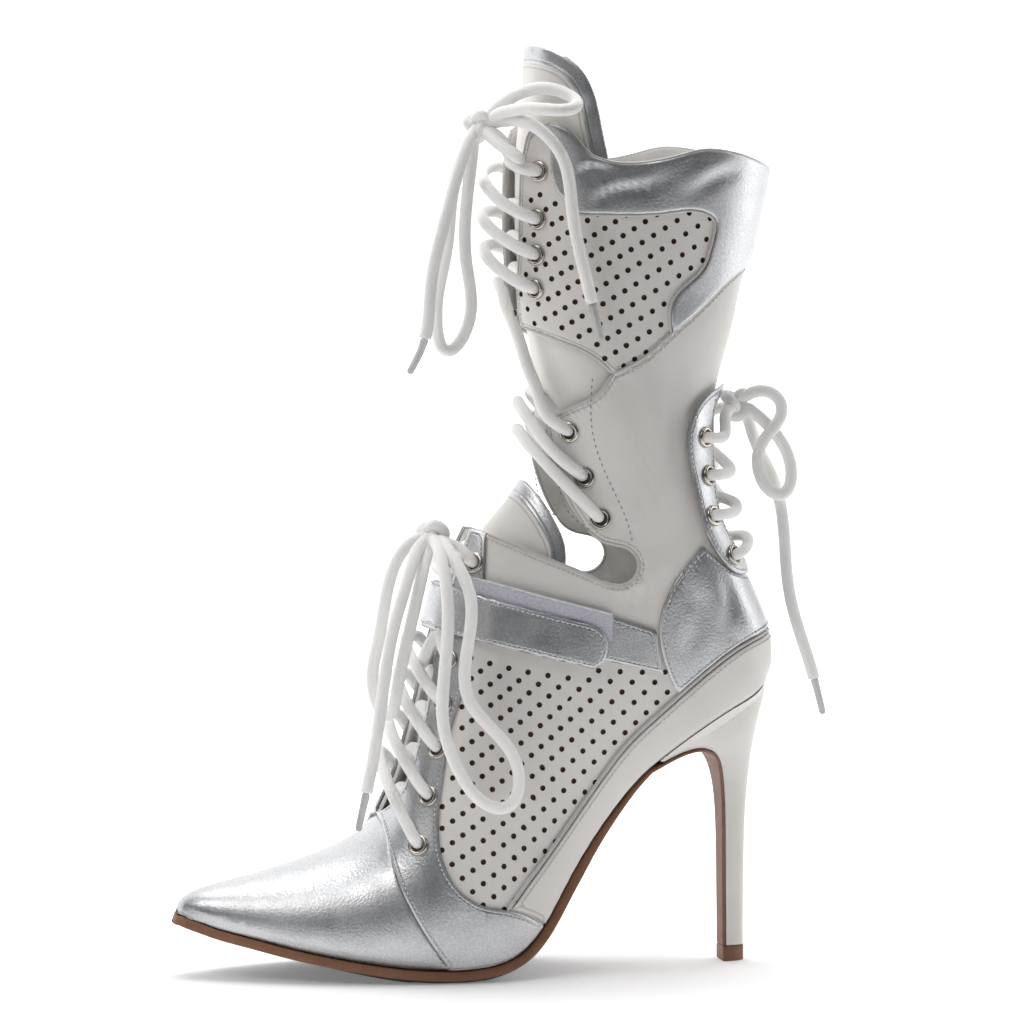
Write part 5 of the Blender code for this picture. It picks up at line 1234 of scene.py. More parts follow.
def edged(tree, groove, dark, groove_shade):
    """Tones and heights of a panel's rounded edge and of the groove that its stitches draw: the tones are
    painted shade, darker at the very edge and in the groove.
    """
    far = add(tree, "ShaderNodeAttribute", attribute_name="rim").outputs["Fac"]
    far = add(tree, "ShaderNodeMath", {1: 1 / MM}, {0: far}, operation="MULTIPLY").outputs["Value"]
    away = add(tree, "ShaderNodeMath", {1: STITCH_IN / MM}, {0: far}, operation="SUBTRACT").outputs["Value"]
    away = add(tree, "ShaderNodeMath", links={0: away}, operation="ABSOLUTE").outputs["Value"]
    # Painted shade: the colour darkens at the panel's very edge and along the stitches' groove.
    tones = [level(tree, far, 0.0, 0.28, dark, 1.0), level(tree, away, 0.1, GROOVE / MM, groove_shade, 1.0)]
    return tones, [level(tree, far, 0.0, 0.6, 0.0, 0.12), level(tree, away, 0.0, GROOVE / MM, -groove, 0.0)]


def toned(tree, shader, factor, a, b):
    """Gives the shader a colour between two, by a factor."""
    mix = add(tree, "ShaderNodeMix", {6: (*a, 1), 7: (*b, 1)}, {"Factor": factor}, data_type="RGBA")
    tree.links.new(mix.outputs[2], shader.inputs["Base Color"])


def foil_leather(look):
    """Leather under a metallic film: fine embossed pebbles break up its gloss. Its colour has painted shade in
    the pebbles' hollows, at the panels' edges and in the stitches' grooves.
    """
    colour = tuple(look.silver)
    new, tree, shader = finish("silver_foil_leather", colour, 0.38, 0.92)
    where = add(tree, "ShaderNodeTexCoord").outputs["Object"]
    tones, heights = edged(tree, 0.12, 0.30, 0.55)
    cells = add(tree, "ShaderNodeTexVoronoi", {"Scale": 1 / look.pebble, "Smoothness": 0.6},
                {"Vector": where}, feature="SMOOTH_F1").outputs["Distance"]
    heights += [
        level(tree, cells, 0.0, 0.8, 0.055, 0.0, False),
        noise(tree, where, 0.020, 0.0, 0.16, 2.0),
    ]
    bumped(tree, shader, heights)
    tree.links.new(noise(tree, where, 0.010, 0.32, 0.44), shader.inputs["Roughness"])
    tones += [noise(tree, where, 0.022, 0.88, 1.0), level(tree, cells, 0.15, 0.65, 1.0, 0.70, False)]
    # The colour: painted shade at the edges, in the grooves and in the pebbles' hollows, times a cloudy tone of
    # the foil's own.
    toned(tree, shader, combined(tree, "MULTIPLY", *tones), tuple(c * 0.42 for c in colour), colour)
    return new


def white_leather(look):
    """Smooth coated leather: a soft even gloss over faint grain, with painted shade at the panels' edges and in
    the stitches' grooves.
    """
    colour = tuple(look.white)
    new, tree, shader = finish("white_coated_leather", colour, 0.46, Coat_Weight=0.12, Coat_Roughness=0.35)
    where = add(tree, "ShaderNodeTexCoord").outputs["Object"]
    tones, heights = edged(tree, 0.12, 0.40, 0.45)
    cells = add(tree, "ShaderNodeTexVoronoi", {"Scale": 1 / 0.0009}, {"Vector": where}).outputs["Distance"]
    heights += [level(tree, cells, 0.0, 0.9, 0.012, 0.0, False), noise(tree, where, 0.014, 0.0, 0.22)]
    bumped(tree, shader, heights)
    tree.links.new(noise(tree, where, 0.020, 0.40, 0.54), shader.inputs["Roughness"])
    tones.append(noise(tree, where, 0.030, 0.93, 1.0))
    # The colour: painted shade at the edges and in the grooves, times a cloudy tone of the leather's own.
    toned(tree, shader, combined(tree, "MULTIPLY", *tones), tuple(c * 0.5 for c in colour), colour)
    return new


def plain_finish(name, colour, roughness, spot, deep, **values):
    """A finish with fine cloudy variation in its colour and height."""
    new, tree, shader = finish(name, colour, roughness, **values)
    where = add(tree, "ShaderNodeTexCoord").outputs["Object"]
    bumped(tree, shader, [noise(tree, where, spot, 0.0, deep, 4.0)])
    toned(tree, shader, noise(tree, where, spot * 6, 0.0, 1.0), tuple(c * 0.78 for c in colour), colour)
    return new


def lace_finish(look):
    """Braided cotton: crossing strands that wind both ways round the cord, soft and matt, with painted shade
    between the strands.
    """
    colour = tuple(look.cord)
    new, tree, shader = finish("braided_lace", colour, 0.9, Sheen_Weight=0.4, Sheen_Roughness=0.5)
    uv = add(tree, "ShaderNodeSeparateXYZ", links={"Vector": add(tree, "ShaderNodeTexCoord").outputs["UV"]})
    turns = 2 * math.pi * STRANDS / (math.pi * look.lace)
    waves = []
    for way in (1.0, -1.0):
        v = add(tree, "ShaderNodeMath", {1: way}, {0: uv.outputs["Y"]}, operation="MULTIPLY").outputs["Value"]
        wound = combined(tree, "ADD", uv.outputs["X"], v)
        wound = add(tree, "ShaderNodeMath", {1: turns}, {0: wound}, operation="MULTIPLY").outputs["Value"]
        waves.append(add(tree, "ShaderNodeMath", links={0: wound}, operation="SINE").outputs["Value"])
    top = combined(tree, "MAXIMUM", *waves)
    bumped(tree, shader, [level(tree, top, -0.6, 1.0, 0.0, 0.09)])
    # Painted shade: the braid's colour is darker where it lies low, between its strands.
    toned(tree, shader, level(tree, top, -0.4, 0.6), tuple(c * 0.92 for c in colour), colour)
    return new


def sole_finish(look):
    """Brown leather board: even and nearly matt."""
    return plain_finish("brown_sole", tuple(look.brown), 0.55, 0.0012, 0.05)


def tape_finish(_look):
    """Woven loop tape: fuzzy lilac loops that scatter light to all sides."""
    lilac = linear("B9B8C5")
    new, tree, shader = finish("loop_tape", lilac, 0.75, Sheen_Weight=0.2)
    where = add(tree, "ShaderNodeTexCoord").outputs["Object"]
    bumped(tree, shader, [noise(tree, where, 0.0006, 0.0, 0.14, 4.0)])
    toned(tree, shader, noise(tree, where, 0.0008, 0.0, 0.8), lilac, linear("DAD9E1"))
    return new


# Name, colour, roughness, the width of its spots, the depth of its bump in millimetres, and other values
PLAIN = {
    "tread": ("black_tread", "2B2725", 0.7, 0.0012, 0.08, {}),  # rubber, dull and nearly black
    "lining": ("lining", "F6F4F1", 0.8, 0.0015, 0.04, {}),  # pale leather, matt
    "sock": ("sock_lining", "DAD4CB", 0.7, 0.0015, 0.04, {}),  # the same, warmer
    "hole": ("punched_edge", "5C4130", 0.9, 0.0006, 0.05, {}),  # raw cut leather in shade
    "dark": ("eyelet_shade", "4A4744", 0.9, 0.0006, 0.02, {}),  # the shade inside an eyelet
    "aglet": ("aglet", "DADBDB", 0.25, 0.0020, 0.01, {"Transmission_Weight": 0.35}),  # clear glossy film
    "thread": ("silver_thread", "E2E3E5", 0.5, 0.0006, 0.03, {}),  # polyester, a faint sheen
    "pale": ("white_thread", "E9E7E3", 0.6, 0.0006, 0.03, {}),
    "grey": ("grey_thread", "9B9C9F", 0.7, 0.0006, 0.03, {}),  # dull, sunk in the leather
    "nickel": ("nickel", "C4BEB4", 0.16, 0.0030, 0.01, {"Metallic": 1.0}),  # polished, mirrors the room
}
FINISHES = {"silver": foil_leather, "white": white_leather, "lace": lace_finish, "sole": sole_finish,
            "tape": tape_finish}
COATS = {}


def coat(name):
    """One of the boot's finishes, made when it is first asked for."""
    if name not in COATS and name in PLAIN:
        word, colour, roughness, spot, deep, values = PLAIN[name]
        COATS[name] = plain_finish(word, linear(colour), roughness, spot, deep, **values)
    elif name not in COATS:
        COATS[name] = FINISHES[name](bpy.context.scene.boot)
    return COATS[name]


def dress(piece, slot, *nodes):
    """A finished piece rides on the boot and stands for its CAD nodes."""
    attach(piece, "root")
    if nodes:
        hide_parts(*nodes)
    return piece


def both(word):
    return [f"{word}_lateral", f"{word}_medial"]


def eyelet_places():
    """Each row of eyelets with its places, lateral and medial, and how far its seat stands out."""
    table = (("instep", INSTEP_EYELETS, LAYER), ("lower", LOWER_EYELETS, 0.0), ("upper", UPPER_EYELETS, 0.0),
             ("rear", REAR_EYELETS, LAYER + LOOSE + OVERLAY))
    return [(row, *both_sides(places), seat) for row, places, seat in table]


EYELETS = eyelet_places()


def over_leather(seat):
    """How far off the face the middle of a lace lies."""
    return seat + GAP + EYELET_RISE + LACE / 2


def out_of(place_at, towards_at, seat, rise=0.0):
    """Points of a lace that comes up through an eyelet and lies down towards the next."""
    s, t = place_at
    to = np.asarray(towards_at) - np.asarray(place_at)
    way = to * SCALE / max(norm(to * SCALE), 1e-9)
    near, far = (np.asarray(place_at) + way * step / SCALE for step in (0.0012, 0.0048))
    return [place(s, t, -EYE_DEEP), place(*near, seat + EYE_HIGH), place(*far, over_leather(seat) + rise)]


def crossing(a, b, seat, arch):
    """A lace out of one eyelet, over the front and into another."""
    a, b = np.asarray(a), np.asarray(b)
    level_a, level_b = (a[0] * 0.8 + b[0] * 0.2, b[1]), (b[0] * 0.8 + a[0] * 0.2, a[1])
    first, last = out_of(a, level_a, seat), out_of(b, level_b, seat)[::-1]
    middle = []
    count = max(3, math.ceil(float(norm(place(*a, 0.0) - place(*b, 0.0))) / 0.008))
    for k in range(1, count):
        f = k / count
        if 0.2 < f < 0.8:
            rise = np.array([f * f * (3 - 2 * f), f])
            middle.append(place(*(a + (b - a) * rise), over_leather(seat) + arch * math.sin(math.pi * f)))
    return first + middle + last


def bar(a, b, deep):
    """A lace between two eyelets of a row, behind the flaps."""
    a, b = np.asarray(a), np.asarray(b)
    return [place(*(a + (b - a) * f), -deep) for f in (0.16, 0.38, 0.62, 0.84)]


def to_knot(last, knot):
    """The end of a lace that runs into a knot."""
    knot = np.array(knot) * MM
    return [last * 0.45 + knot * 0.55 + (0, 0, 0.001), knot + (last - knot) * 0.12]


def instep_path():
    """The instep lace: from the lowest medial eyelet up to the tab and the knot."""
    _, left, right, seat = EYELETS[0]
    path = []
    top = len(left) - 1
    for i in range(top):
        path += bar(right[i], left[i], DEEP)
        if i < top - 1:
            path += crossing(left[i], right[i + 1], seat, LACE_ARCH)
    path += out_of(left[top - 1], right[top], seat)
    for z, share, off in UNDER_STRAP:
        s = ridge_section(z)
        edge = float(np.interp(s, THROAT_LINE[:, 0], THROAT_LINE[:, 1]))
        path.append(place(s, edge * share, off * MM))
    path += out_of(right[top], left[top], seat)[::-1]
    path += bar(right[top], left[top], DEEP)
    return path + [*out_of(left[top], right[top], seat), *to_knot(place(*left[top], 0.004), INSTEP_KNOT)]


def shaft_path():
    """The shaft lace: up the lower flaps, over the window and up to the knot."""
    low, high = EYELETS[1], EYELETS[2]
    left = [*low[1][::-1], *high[1]]
    right = [*low[2][::-1], *high[2]]
    path, top, turn = [], len(left) - 1, len(low[1])
    for i in range(top):
        path += bar(right[i], left[i], DEEP if i >= turn else DEEP_LOW) if i else [place(*left[0], -0.0052)]
        path += crossing(left[i], right[i + 1], 0.0, LACE_ARCH if i >= turn else LOW_ARCH)
    path += bar(right[top], left[top], DEEP)
    return path + [*out_of(left[top], right[top], 0.0), *to_knot(place(*left[top], 0.005), SHAFT_KNOT)]


def edge_place(row, side, up):
    """A place on the rear flap's edge beside a row of eyelets."""
    x, z = REAR_EDGE[row]
    s, t = to_surface(side_view([(x, z + up)]))[0]
    return s, t * side


def rear_paths():
    """The rear lace's two halves, which cross over the slit, and the bar at its foot."""
    _, left, right, seat = EYELETS[3]
    eyes = {1: left, -1: right}
    high = over_leather(seat)
    foot, paths = len(left) - 1, []
    for first in (1, -1):
        side, path = first, []
        if first == 1:
            path += [place(*right[foot], -EYE_DEEP), place(*right[foot], seat + EYE_HIGH),
                     place(*edge_place(foot, -1, 0), high), place(*edge_place(foot, 1, 0), high)]
            path += [place(*left[foot], seat + EYE_HIGH), place(*left[foot], -EYE_DEEP)]
        for row in range(foot - 1, -1, -1):
            side = -side
            eye = eyes[side][row]
            under = place(*edge_place(row, side, -2.0), -0.0040)
            path += [under, place(*eye, -EYE_DEEP), place(*eye, seat + EYE_HIGH)]
            out = edge_place(row, side, 1.5)
            path.append(place(*(np.asarray(eye) * 0.5 + np.asarray(out) * 0.5), high + 0.0004))
            if row:
                a, b = place(*out, high), place(*edge_place(row - 1, -side, -3.0), -0.0015)
                path += [a, (a + b) / 2 + (REAR_APART * first - REAR_AHEAD, 0, 0)]
        path += to_knot(place(*eyes[side][0], 0.006), REAR_KNOT)
        paths.append(path)
    return paths


def lace_ends(word, knot, ends, kinds, slot_nodes):
    """Makes a bow's loops and ends as cords, with the aglets on their ends."""
    knot = np.array(knot) * MM
    radius = LACE / 2
    for k, (points, kind) in enumerate(zip(ends, kinds, strict=True)):
        points = np.array(points) * MM
        start = [knot + (points[0] - knot) * KNOT_SINK]
        path = curve(np.vstack([start, points]), BOW_STEP)
        for _ in range(EASING):
            path[1:-1] += (path[:-2] + path[2:] - 2 * path[1:-1]) / 4
        if kind == "loop":
            path = finely(np.vstack([path, knot + (path[-1] - knot) * 0.5]), BOW_STEP)
        if kind == "end":
            stiff = round(AGLET / BOW_STEP)
            tip = finely(path[-stiff:], 0.0004)
            path = path[: 1 - stiff]
            shape = np.interp(np.linspace(0, 1, len(tip)), [0, 0.06, 0.2, 1], [0.84, 0.68, 0.62, 0.54])
            aglet = tube(f"{word}_aglet_{k}", tip, radius * shape, coat("aglet"), 12)
            dress(aglet, "lace_white")
        cord = tube(f"{word}_{kind}_{k}", path, radius, coat("lace"), round_ends=kind != "end")
        dress(cord, "lace_white", *slot_nodes)
        if kind == "feeder":
            continue
        length = float(run_along(path)[-1])


def knot_piece(word, knot, facing, node):
    """A bow's knot: the lace wound round itself."""
    t = np.linspace(0, 2 * np.pi, 90)
    flat = np.column_stack([np.sin(t) + 2 * np.sin(2 * t), np.cos(t) - 2 * np.cos(2 * t),
                            -1.3 * np.sin(3 * t)])
    up = unit(np.array(facing, float))
    right = unit(np.cross([0.0, 0.0, 1.0], up))
    turn = np.column_stack([right, np.cross(up, right), up])
    path = np.array(knot) * MM + (flat * KNOT_SIZE) @ turn.T
    return dress(tube(f"{word}_knot", path, LACE / 2 * 0.96, coat("lace"), 14, False), "lace_white", node)


class BOOT_OT_camera(Operator):
    """Sets the camera at the photograph's viewing angle"""

    bl_idname = "boot.camera"
    bl_label = "Camera"

    def execute(self, context):
        lens = bpy.data.cameras.new("camera")
        lens.lens, lens.sensor_width = CAMERA_LENS, 36.0
        lens.clip_start, lens.clip_end = 0.05, 20.0
        camera = linked("camera", lens)
        back = Vector(CAMERA_BACK).normalized()
        camera.location = Vector(CAMERA_TARGET) + back * CAMERA_FAR
        camera.rotation_euler = back.to_track_quat("Z", "Y").to_euler()
        context.scene.camera = camera
        return {"FINISHED"}


class BOOT_OT_laces(Operator):
    """Laces the instep, the shaft and the slit behind the ankle, and ties the bows"""

    bl_idname = "boot.laces"
    bl_label = "Laces and bows"

    def execute(self, context):
        radius = context.scene.boot.lace / 2
        for word, path in (("instep", instep_path()), ("shaft", shaft_path())):
            lace = tube(f"{word}_crossings", curve(path, ROLL_STEP), radius, coat("lace"))
            dress(lace, "lace_white", f"{word}_lace")
        halves = [tube(f"rear_half_{k}", curve(path, ROLL_STEP), radius * 0.92, coat("lace"))
                  for k, path in enumerate(rear_paths())]
        dress(merged("rear_crossings", halves), "lace_white", "rear_lace")
        bows = (("shaft", SHAFT_KNOT, SHAFT_BOW, ("feeder", "end", "loop", "end", "loop"), (-0.8, -0.7, 0.1)),
                ("instep", INSTEP_KNOT, INSTEP_BOW, ("feeder", "loop", "end", "loop"), (-0.8, -0.6, 0.3)),
                ("rear", REAR_KNOT, REAR_BOW, ("loop", "end"), (0.5, -0.9, 0.2)))
        for word, knot, ends, kinds, facing in bows:
            node = f"{word}_lace_bow"
            knot_piece(word, knot, facing, node)
            lace_ends(word, knot, ends, kinds, [node])
        return {"FINISHED"}


def ring_faces(rings, count):
    """Faces between closed rings of points."""
    every = []
    for r in range(rings - 1):
        for i in range(count):
            a, b = r * count + i, r * count + (i + 1) % count
            every.append([a, b, b + count, a + count])
    return every


def row_faces(rows, count):
    """Faces between rows of points that close round a bar, and its two ends."""
    every = []
    for k in range(rows):
        a, b = k * count, (k + 1) % rows * count
        every += [[a + i, a + i + 1, b + i + 1, b + i] for i in range(count - 1)]
    every.append([k * count + count - 1 for k in range(rows)])
    every.append([k * count for k in range(rows)][::-1])
    return every


def rounded_sole():
    """The outsole with a band of rounded profile, brown above and dark below."""
    rows = seam_line()
    line, down = rows[:, 0:2], across(rows[:, 0:2])
    flat_toe = int(np.argmax(line[:, 0] > line[0, 0] + TOE_FLAT))
    down[:flat_toe] = down[flat_toe]
    run = run_along(line)
    waist = run[-HEEL_RINGS - WAIST_ROWS]
    thin = np.clip((run - waist) / (run[-HEEL_RINGS] - waist), 0, 1)
    thick = SOLE_THICKNESS + (BREAST_THICKNESS - SOLE_THICKNESS) * thin
    off = np.abs(line[:, 0] * 100 / HALF_LENGTH - BELLY_AT) / BELLY_REACH
    belly = SOLE_BELLY * np.cos(np.clip(off, 0, 1) * np.pi / 2) ** 2
    edge = SOLE_EDGE * np.clip((run[-1] - run) / (run[-1] - waist), BREAST_EDGE, 1)
    sides = []
    for side, k in ((-1, 2), (1, 3)):
        half = rows[:, k]
        turn = unit(np.column_stack([np.gradient(half), np.gradient(run)]))
        inset = np.minimum(SOLE_ROUND, half * ROUND_SHARE)
        profile = ((0 * thick, edge * 0.3), (0 * thick, edge * TOP_EDGE), (thick * 0.12, edge * 0.97),
                   (thick * 0.85, edge), (thick, edge - 0.0002), (thick + belly * 0.1, edge - 0.0010),
                   (thick + belly * 0.6, edge - inset * 0.55), (thick + belly, edge - inset))
        for deep, grow in profile:
            at = np.minimum(run - grow * turn[:, 0], run[-1])
            y = rows[:, 4] + side * (half + grow * turn[:, 1])
            y[0] = rows[0, 4]
            face = line + down * (GAP + deep)[:, None]
            slope = (face[1] - face[0]) / run[1]
            x = np.where(at < 0, face[0, 0] + slope[0] * at, np.interp(at, run, face[:, 0]))
            z = np.where(at < 0, face[0, 1] + slope[1] * at, np.interp(at, run, face[:, 1]))
            sides.append(np.column_stack([x, y, np.maximum(z, 0)]))
    n = len(sides) // 2
    ring_lines = [*sides[:n], *sides[n:][::-1]]
    faces, of_face = row_faces(2 * n, len(rows)), []
    for k in range(2 * n):
        under = 4 <= k <= 2 * n - 6
        of_face += [int(under and x < TREAD_END) for x in line[:-1, 0]]
    of_face += [0, 0]
    return built("outsole_dressed", np.vstack(ring_lines), faces, [coat("sole"), coat("tread")], of_face)


def covered_heel():
    """The slender heel in its glued white cover."""
    u = np.sin(np.linspace(0, np.pi / 2, HEEL_SIDE)) ** HEEL_EVEN
    s = SEAT_START + HEEL_LEAD + (SEAT_END - SEAT_START - HEEL_LEAD) * u
    row = SECTION_AT(s)
    seat = row[:, 2:4] + across(row[:, 2:4]) * GAP
    share = floor_share(s)
    rings = [[np.column_stack([seat[:, 0], side * row[:, k] * share, seat[:, 1]])
              for side, k in ((-1, 4), (1, 5))]]
    round_off = (1 - u**HEEL_ROUND) ** (1 / HEEL_ROUND)
    for ring_row in heel_rings():
        flat = ring_row[0:2] + (ring_row[2:4] - ring_row[0:2]) * u[:, None]
        half = ring_row[4] * round_off
        rings.append([np.column_stack([flat[:, 0], side * half, flat[:, 1]]) for side in (-1, 1)])
    points = np.vstack([np.vstack([a, b[::-1]]) for a, b in rings])
    size = 2 * HEEL_SIDE
    faces = ring_faces(len(rings), size)
    for first in (0, (len(rings) - 1) * size):
        for i in range(HEEL_SIDE - 1):
            faces.append([first + i, first + i + 1, first + size - 2 - i, first + size - 1 - i])
    return built("heel_dressed", points, faces, [coat("white")], None, np.full(len(points), 0.02))


def top_piece():
    """The heel's brown top piece."""
    last = heel_rings()[-1]
    u = np.sin(np.linspace(0, np.pi / 2, HEEL_SIDE)) ** HEEL_EVEN
    front = last[0] - GAP - BREAST_THICKNESS
    half = (last[4] + TIP_EDGE) * (1 - u**HEEL_ROUND) ** (1 / HEEL_ROUND)
    x = front + (last[2] + TIP_EDGE - front) * u
    outline = np.vstack([np.column_stack([x, -half]), np.column_stack([x, half])[::-1]])
    count = len(outline)
    middle = outline.mean(axis=0)
    points = []
    for z, shrink in ((0.0, 0.95), (0.0003, 1.0), (TIP_HEIGHT - GAP - 0.0003, 1.0), (TIP_HEIGHT - GAP, 0.97)):
        points += [(*(middle + (p - middle) * shrink), z) for p in outline]
    faces = ring_faces(4, count)
    faces += [list(range(count))[::-1], list(range(3 * count, 4 * count))]
    return built("heel_tip_dressed", points, faces, [coat("sole")])


def sock():
    """The sock on which the foot stands."""
    s = np.linspace(INSOLE_START, SEAT_END - INSOLE_STOP, 90)
    row, share = SECTION_AT(s), floor_share(s)
    up = -across(row[:, 2:4])
    points = []
    for high in (0.0, INSOLE_THICKNESS):
        face = row[:, 2:4] + up * high
        for side, k in ((-1, 4), (1, 5)):
            half = np.maximum(row[:, k] * share - WALL - INSOLE_ROOM, GAP)
            points.append(np.column_stack([face[:, 0], row[:, 6] + side * half, face[:, 1]]))
    around = [points[0], points[1], points[3], points[2]]
    return built("insole_dressed", np.vstack(around), row_faces(4, len(s)), [coat("sock")])


class BOOT_OT_sole(Operator):
    """Makes the outsole, the covered heel, its top piece and the sock"""

    bl_idname = "boot.sole"
    bl_label = "Sole and heel"

    def execute(self, context):
        dress(rounded_sole(), "sole_brown", "outsole")
        dress(covered_heel(), "white_leather", "heel")
        dress(top_piece(), "sole_brown", "heel_tip")
        dress(sock(), "sock_lining", "insole")
        return {"FINISHED"}


def slit_line():
    line = border(REAR_SLIT)
    line[0, 1] = line[-1, 1] = np.pi
    return line


STAY_LOOP = unique_loop([
    VAMP_LINE[::-1], THROAT_LINE, TAB_LINE, WING_REAR_LINE[::-1], WING_LINE,
    panel_edge(VAMP_LINE[-1, 0], WING_LINE[-1, 0])[::-1]])
REAR_STAY_LOOP = unique_loop([border(REAR_STAY), border(beside(REAR_SLIT, -SLIT_ROOM, 0.0))[::-1]])
FOXING_LOOP = unique_loop([
    FOXING_FRONT[::-1], FOXING_TOP, along_edge(FOXING_TOP[-1, 0], EDGE_END, np.pi),
    panel_edge(FOXING_FRONT[-1, 0], EDGE_END)[::-1]])
COUNTER_LOOP = unique_loop([
    COUNTER_LINE, COUNTER_TOP_LINE, along_edge(COUNTER_TOP_LINE[-1, 0], COUNTER_LOW[-1, 0], np.pi),
    COUNTER_LOW[::-1]])
COLLAR_LOOP = unique_loop([
    COLLAR_FRONT_LINE, COLLAR_LOW_LINE, SHAFT_LINE,
    along_edge(SHAFT_LINE[-1, 0], RIM_LINE[-1, 0], np.pi), RIM_LINE[::-1]])


def band_loop():
    corners = [*BAND_FRONT, *BAND[2:]]
    return unique_loop([border([a, b]) for a, b in zip(corners, corners[1:] + corners[:1], strict=True)])


def strap_loop():
    low, top = from_ridge(border(STRAP_LOW)), from_ridge(border(STRAP_TOP)[::-1])[::-1]
    return unique_loop([low, border(STRAP_END), top, along_edge(top[-1, 0], low[0, 0], 0.0)])


def upper_loop():
    """The border of the quarters and the shaft, behind the vamp."""
    split, slit = VAMP_LINE[-1, 0], slit_line()
    rear_sole = SOLE_ROWS[SOLE_ROWS > split + 0.02][::-1]
    return unique_loop([
        THROAT_LINE, TAB_LINE, border(INSTEP_TOP), border(ANKLE_CUT), border(LOWER_FLAP), border(WINDOW_LOW),
        border(WINDOW_TOP), border(UPPER_FLAP), border(FLAP_TOP), RIM_LINE,
        along_edge(RIM_LINE[-1, 0], slit[0, 0], np.pi), slit,
        along_edge(slit[-1, 0], SEAT_END, np.pi),
        at_t(rear_sole, np.pi),
        np.array([[split, np.pi]]), VAMP_LINE[::-1],
    ])


def inset(loop, far, edges=None):
    """A loop's sewn edges moved inwards, in stretches without the places that a corner throws outside."""
    edges = edges or sewn(edge_parts(loop))
    solid = [lateral(edge) for edge in edges]
    found = []
    for edge in edges:
        for way in (far, -far):
            row = aside(edge, way)
            good = within(row, loop)
            good &= distances(lateral(row), solid) > 0.96 * far
            found += stretches(row, good, 2)
    return found


def lattice_of(first, a, b, bends, region):
    """Side view places of a slanted lattice whose steps change along it, in metres, inside a region."""
    i, j = (np.ravel(k)[:, None] for k in np.meshgrid(np.arange(-8.0, 12.0), np.arange(-9.0, 14.0)))
    aa, ab, bb = np.array(bends)
    found = (np.array(first) + i * a + j * b + i * i * aa + i * j * ab + j * j * bb) * MM
    return found[inside(found, side_view(region))]


def punched_rings(look, loop):
    """The perforations' middles and rings on the face, clear of a loop's edges and of the eyelets."""
    middles = to_surface(np.vstack([lattice_of(*QUARTER_HOLES), lattice_of(*FLAP_HOLES)]))
    eyes = lateral(to_surface(side_view(UPPER_EYELETS)))
    at = lateral(middles)
    clear = EYELET_OUTER / 2 + look.punch / 2 + 0.0001
    keep = norm(at[:, None] - eyes[None], axis=2).min(axis=1) > clear
    keep &= distances(at, [lateral(edge) for edge in edge_parts(loop)]) > PUNCHED
    middles = middles[keep]
    radius = look.punch / 2
    angles = 2 * np.pi * np.arange(12) / 12
    by_s, by_t = slopes(middles[:, 0], middles[:, 1])
    first = unit(by_s)
    second = np.cross(unit(np.cross(by_s, by_t)), first)
    rings = np.stack([moved(middles, radius * (math.cos(a) * first + math.sin(a) * second), (by_s, by_t))
                      for a in angles], axis=1)
    return middles, rings


class BOOT_OT_upper(Operator):
    """Makes the vamp, and the quarters and shaft with their perforations"""

    bl_idname = "boot.upper"
    bl_label = "Upper"

    def execute(self, context):
        look = context.scene.boot
        split = VAMP_LINE[-1, 0]
        front = SOLE_ROWS[SOLE_ROWS < split - 0.02][::-1]
        vamp_loop = unique_loop([
            along_edge(0.02, THROAT_LINE[0, 0], 0.0), VAMP_LINE, np.array([[split, np.pi]]),
            at_t(front, np.pi),
            np.array([[0.0, np.pi], [0.0, np.pi / 2], [0.0, 0.0]]),
        ])
        vamp = panel("vamp_dressed", vamp_loop, -WALL, 0.0, [coat("silver"), coat("lining")], seams=())
        dress(vamp, "silver_leather", "upper")
        loop = upper_loop()
        middles, rings = punched_rings(look, loop)
        edges = [border(line) for line in (INSTEP_TOP, ANKLE_CUT, LOWER_FLAP, WINDOW_LOW, WINDOW_TOP,
                                           UPPER_FLAP, FLAP_TOP, SEAM)]
        upper = panel("upper_dressed", loop, -WALL, 0.0, [coat("white"), coat("lining")], holes=rings,
                      seams=edges)
        dress(upper, "white_leather", "upper")
        spots = []
        for side in (-1, 1):
            at = off_face(middles, side, -0.00004)
            up = outward(middles[:, 0], middles[:, 1], float(side))
            spots += [(p, (1.0, 0.2, 0.3), n) for p, n in zip(at, up, strict=True)]
        sizes = {"Radius": look.punch / 2 + 0.00004, "Depth": 0.0009}
        wells = repeated("perforations", spots, well, sizes, coat("hole"))
        dress(wells, "white_leather")
        return {"FINISHED"}


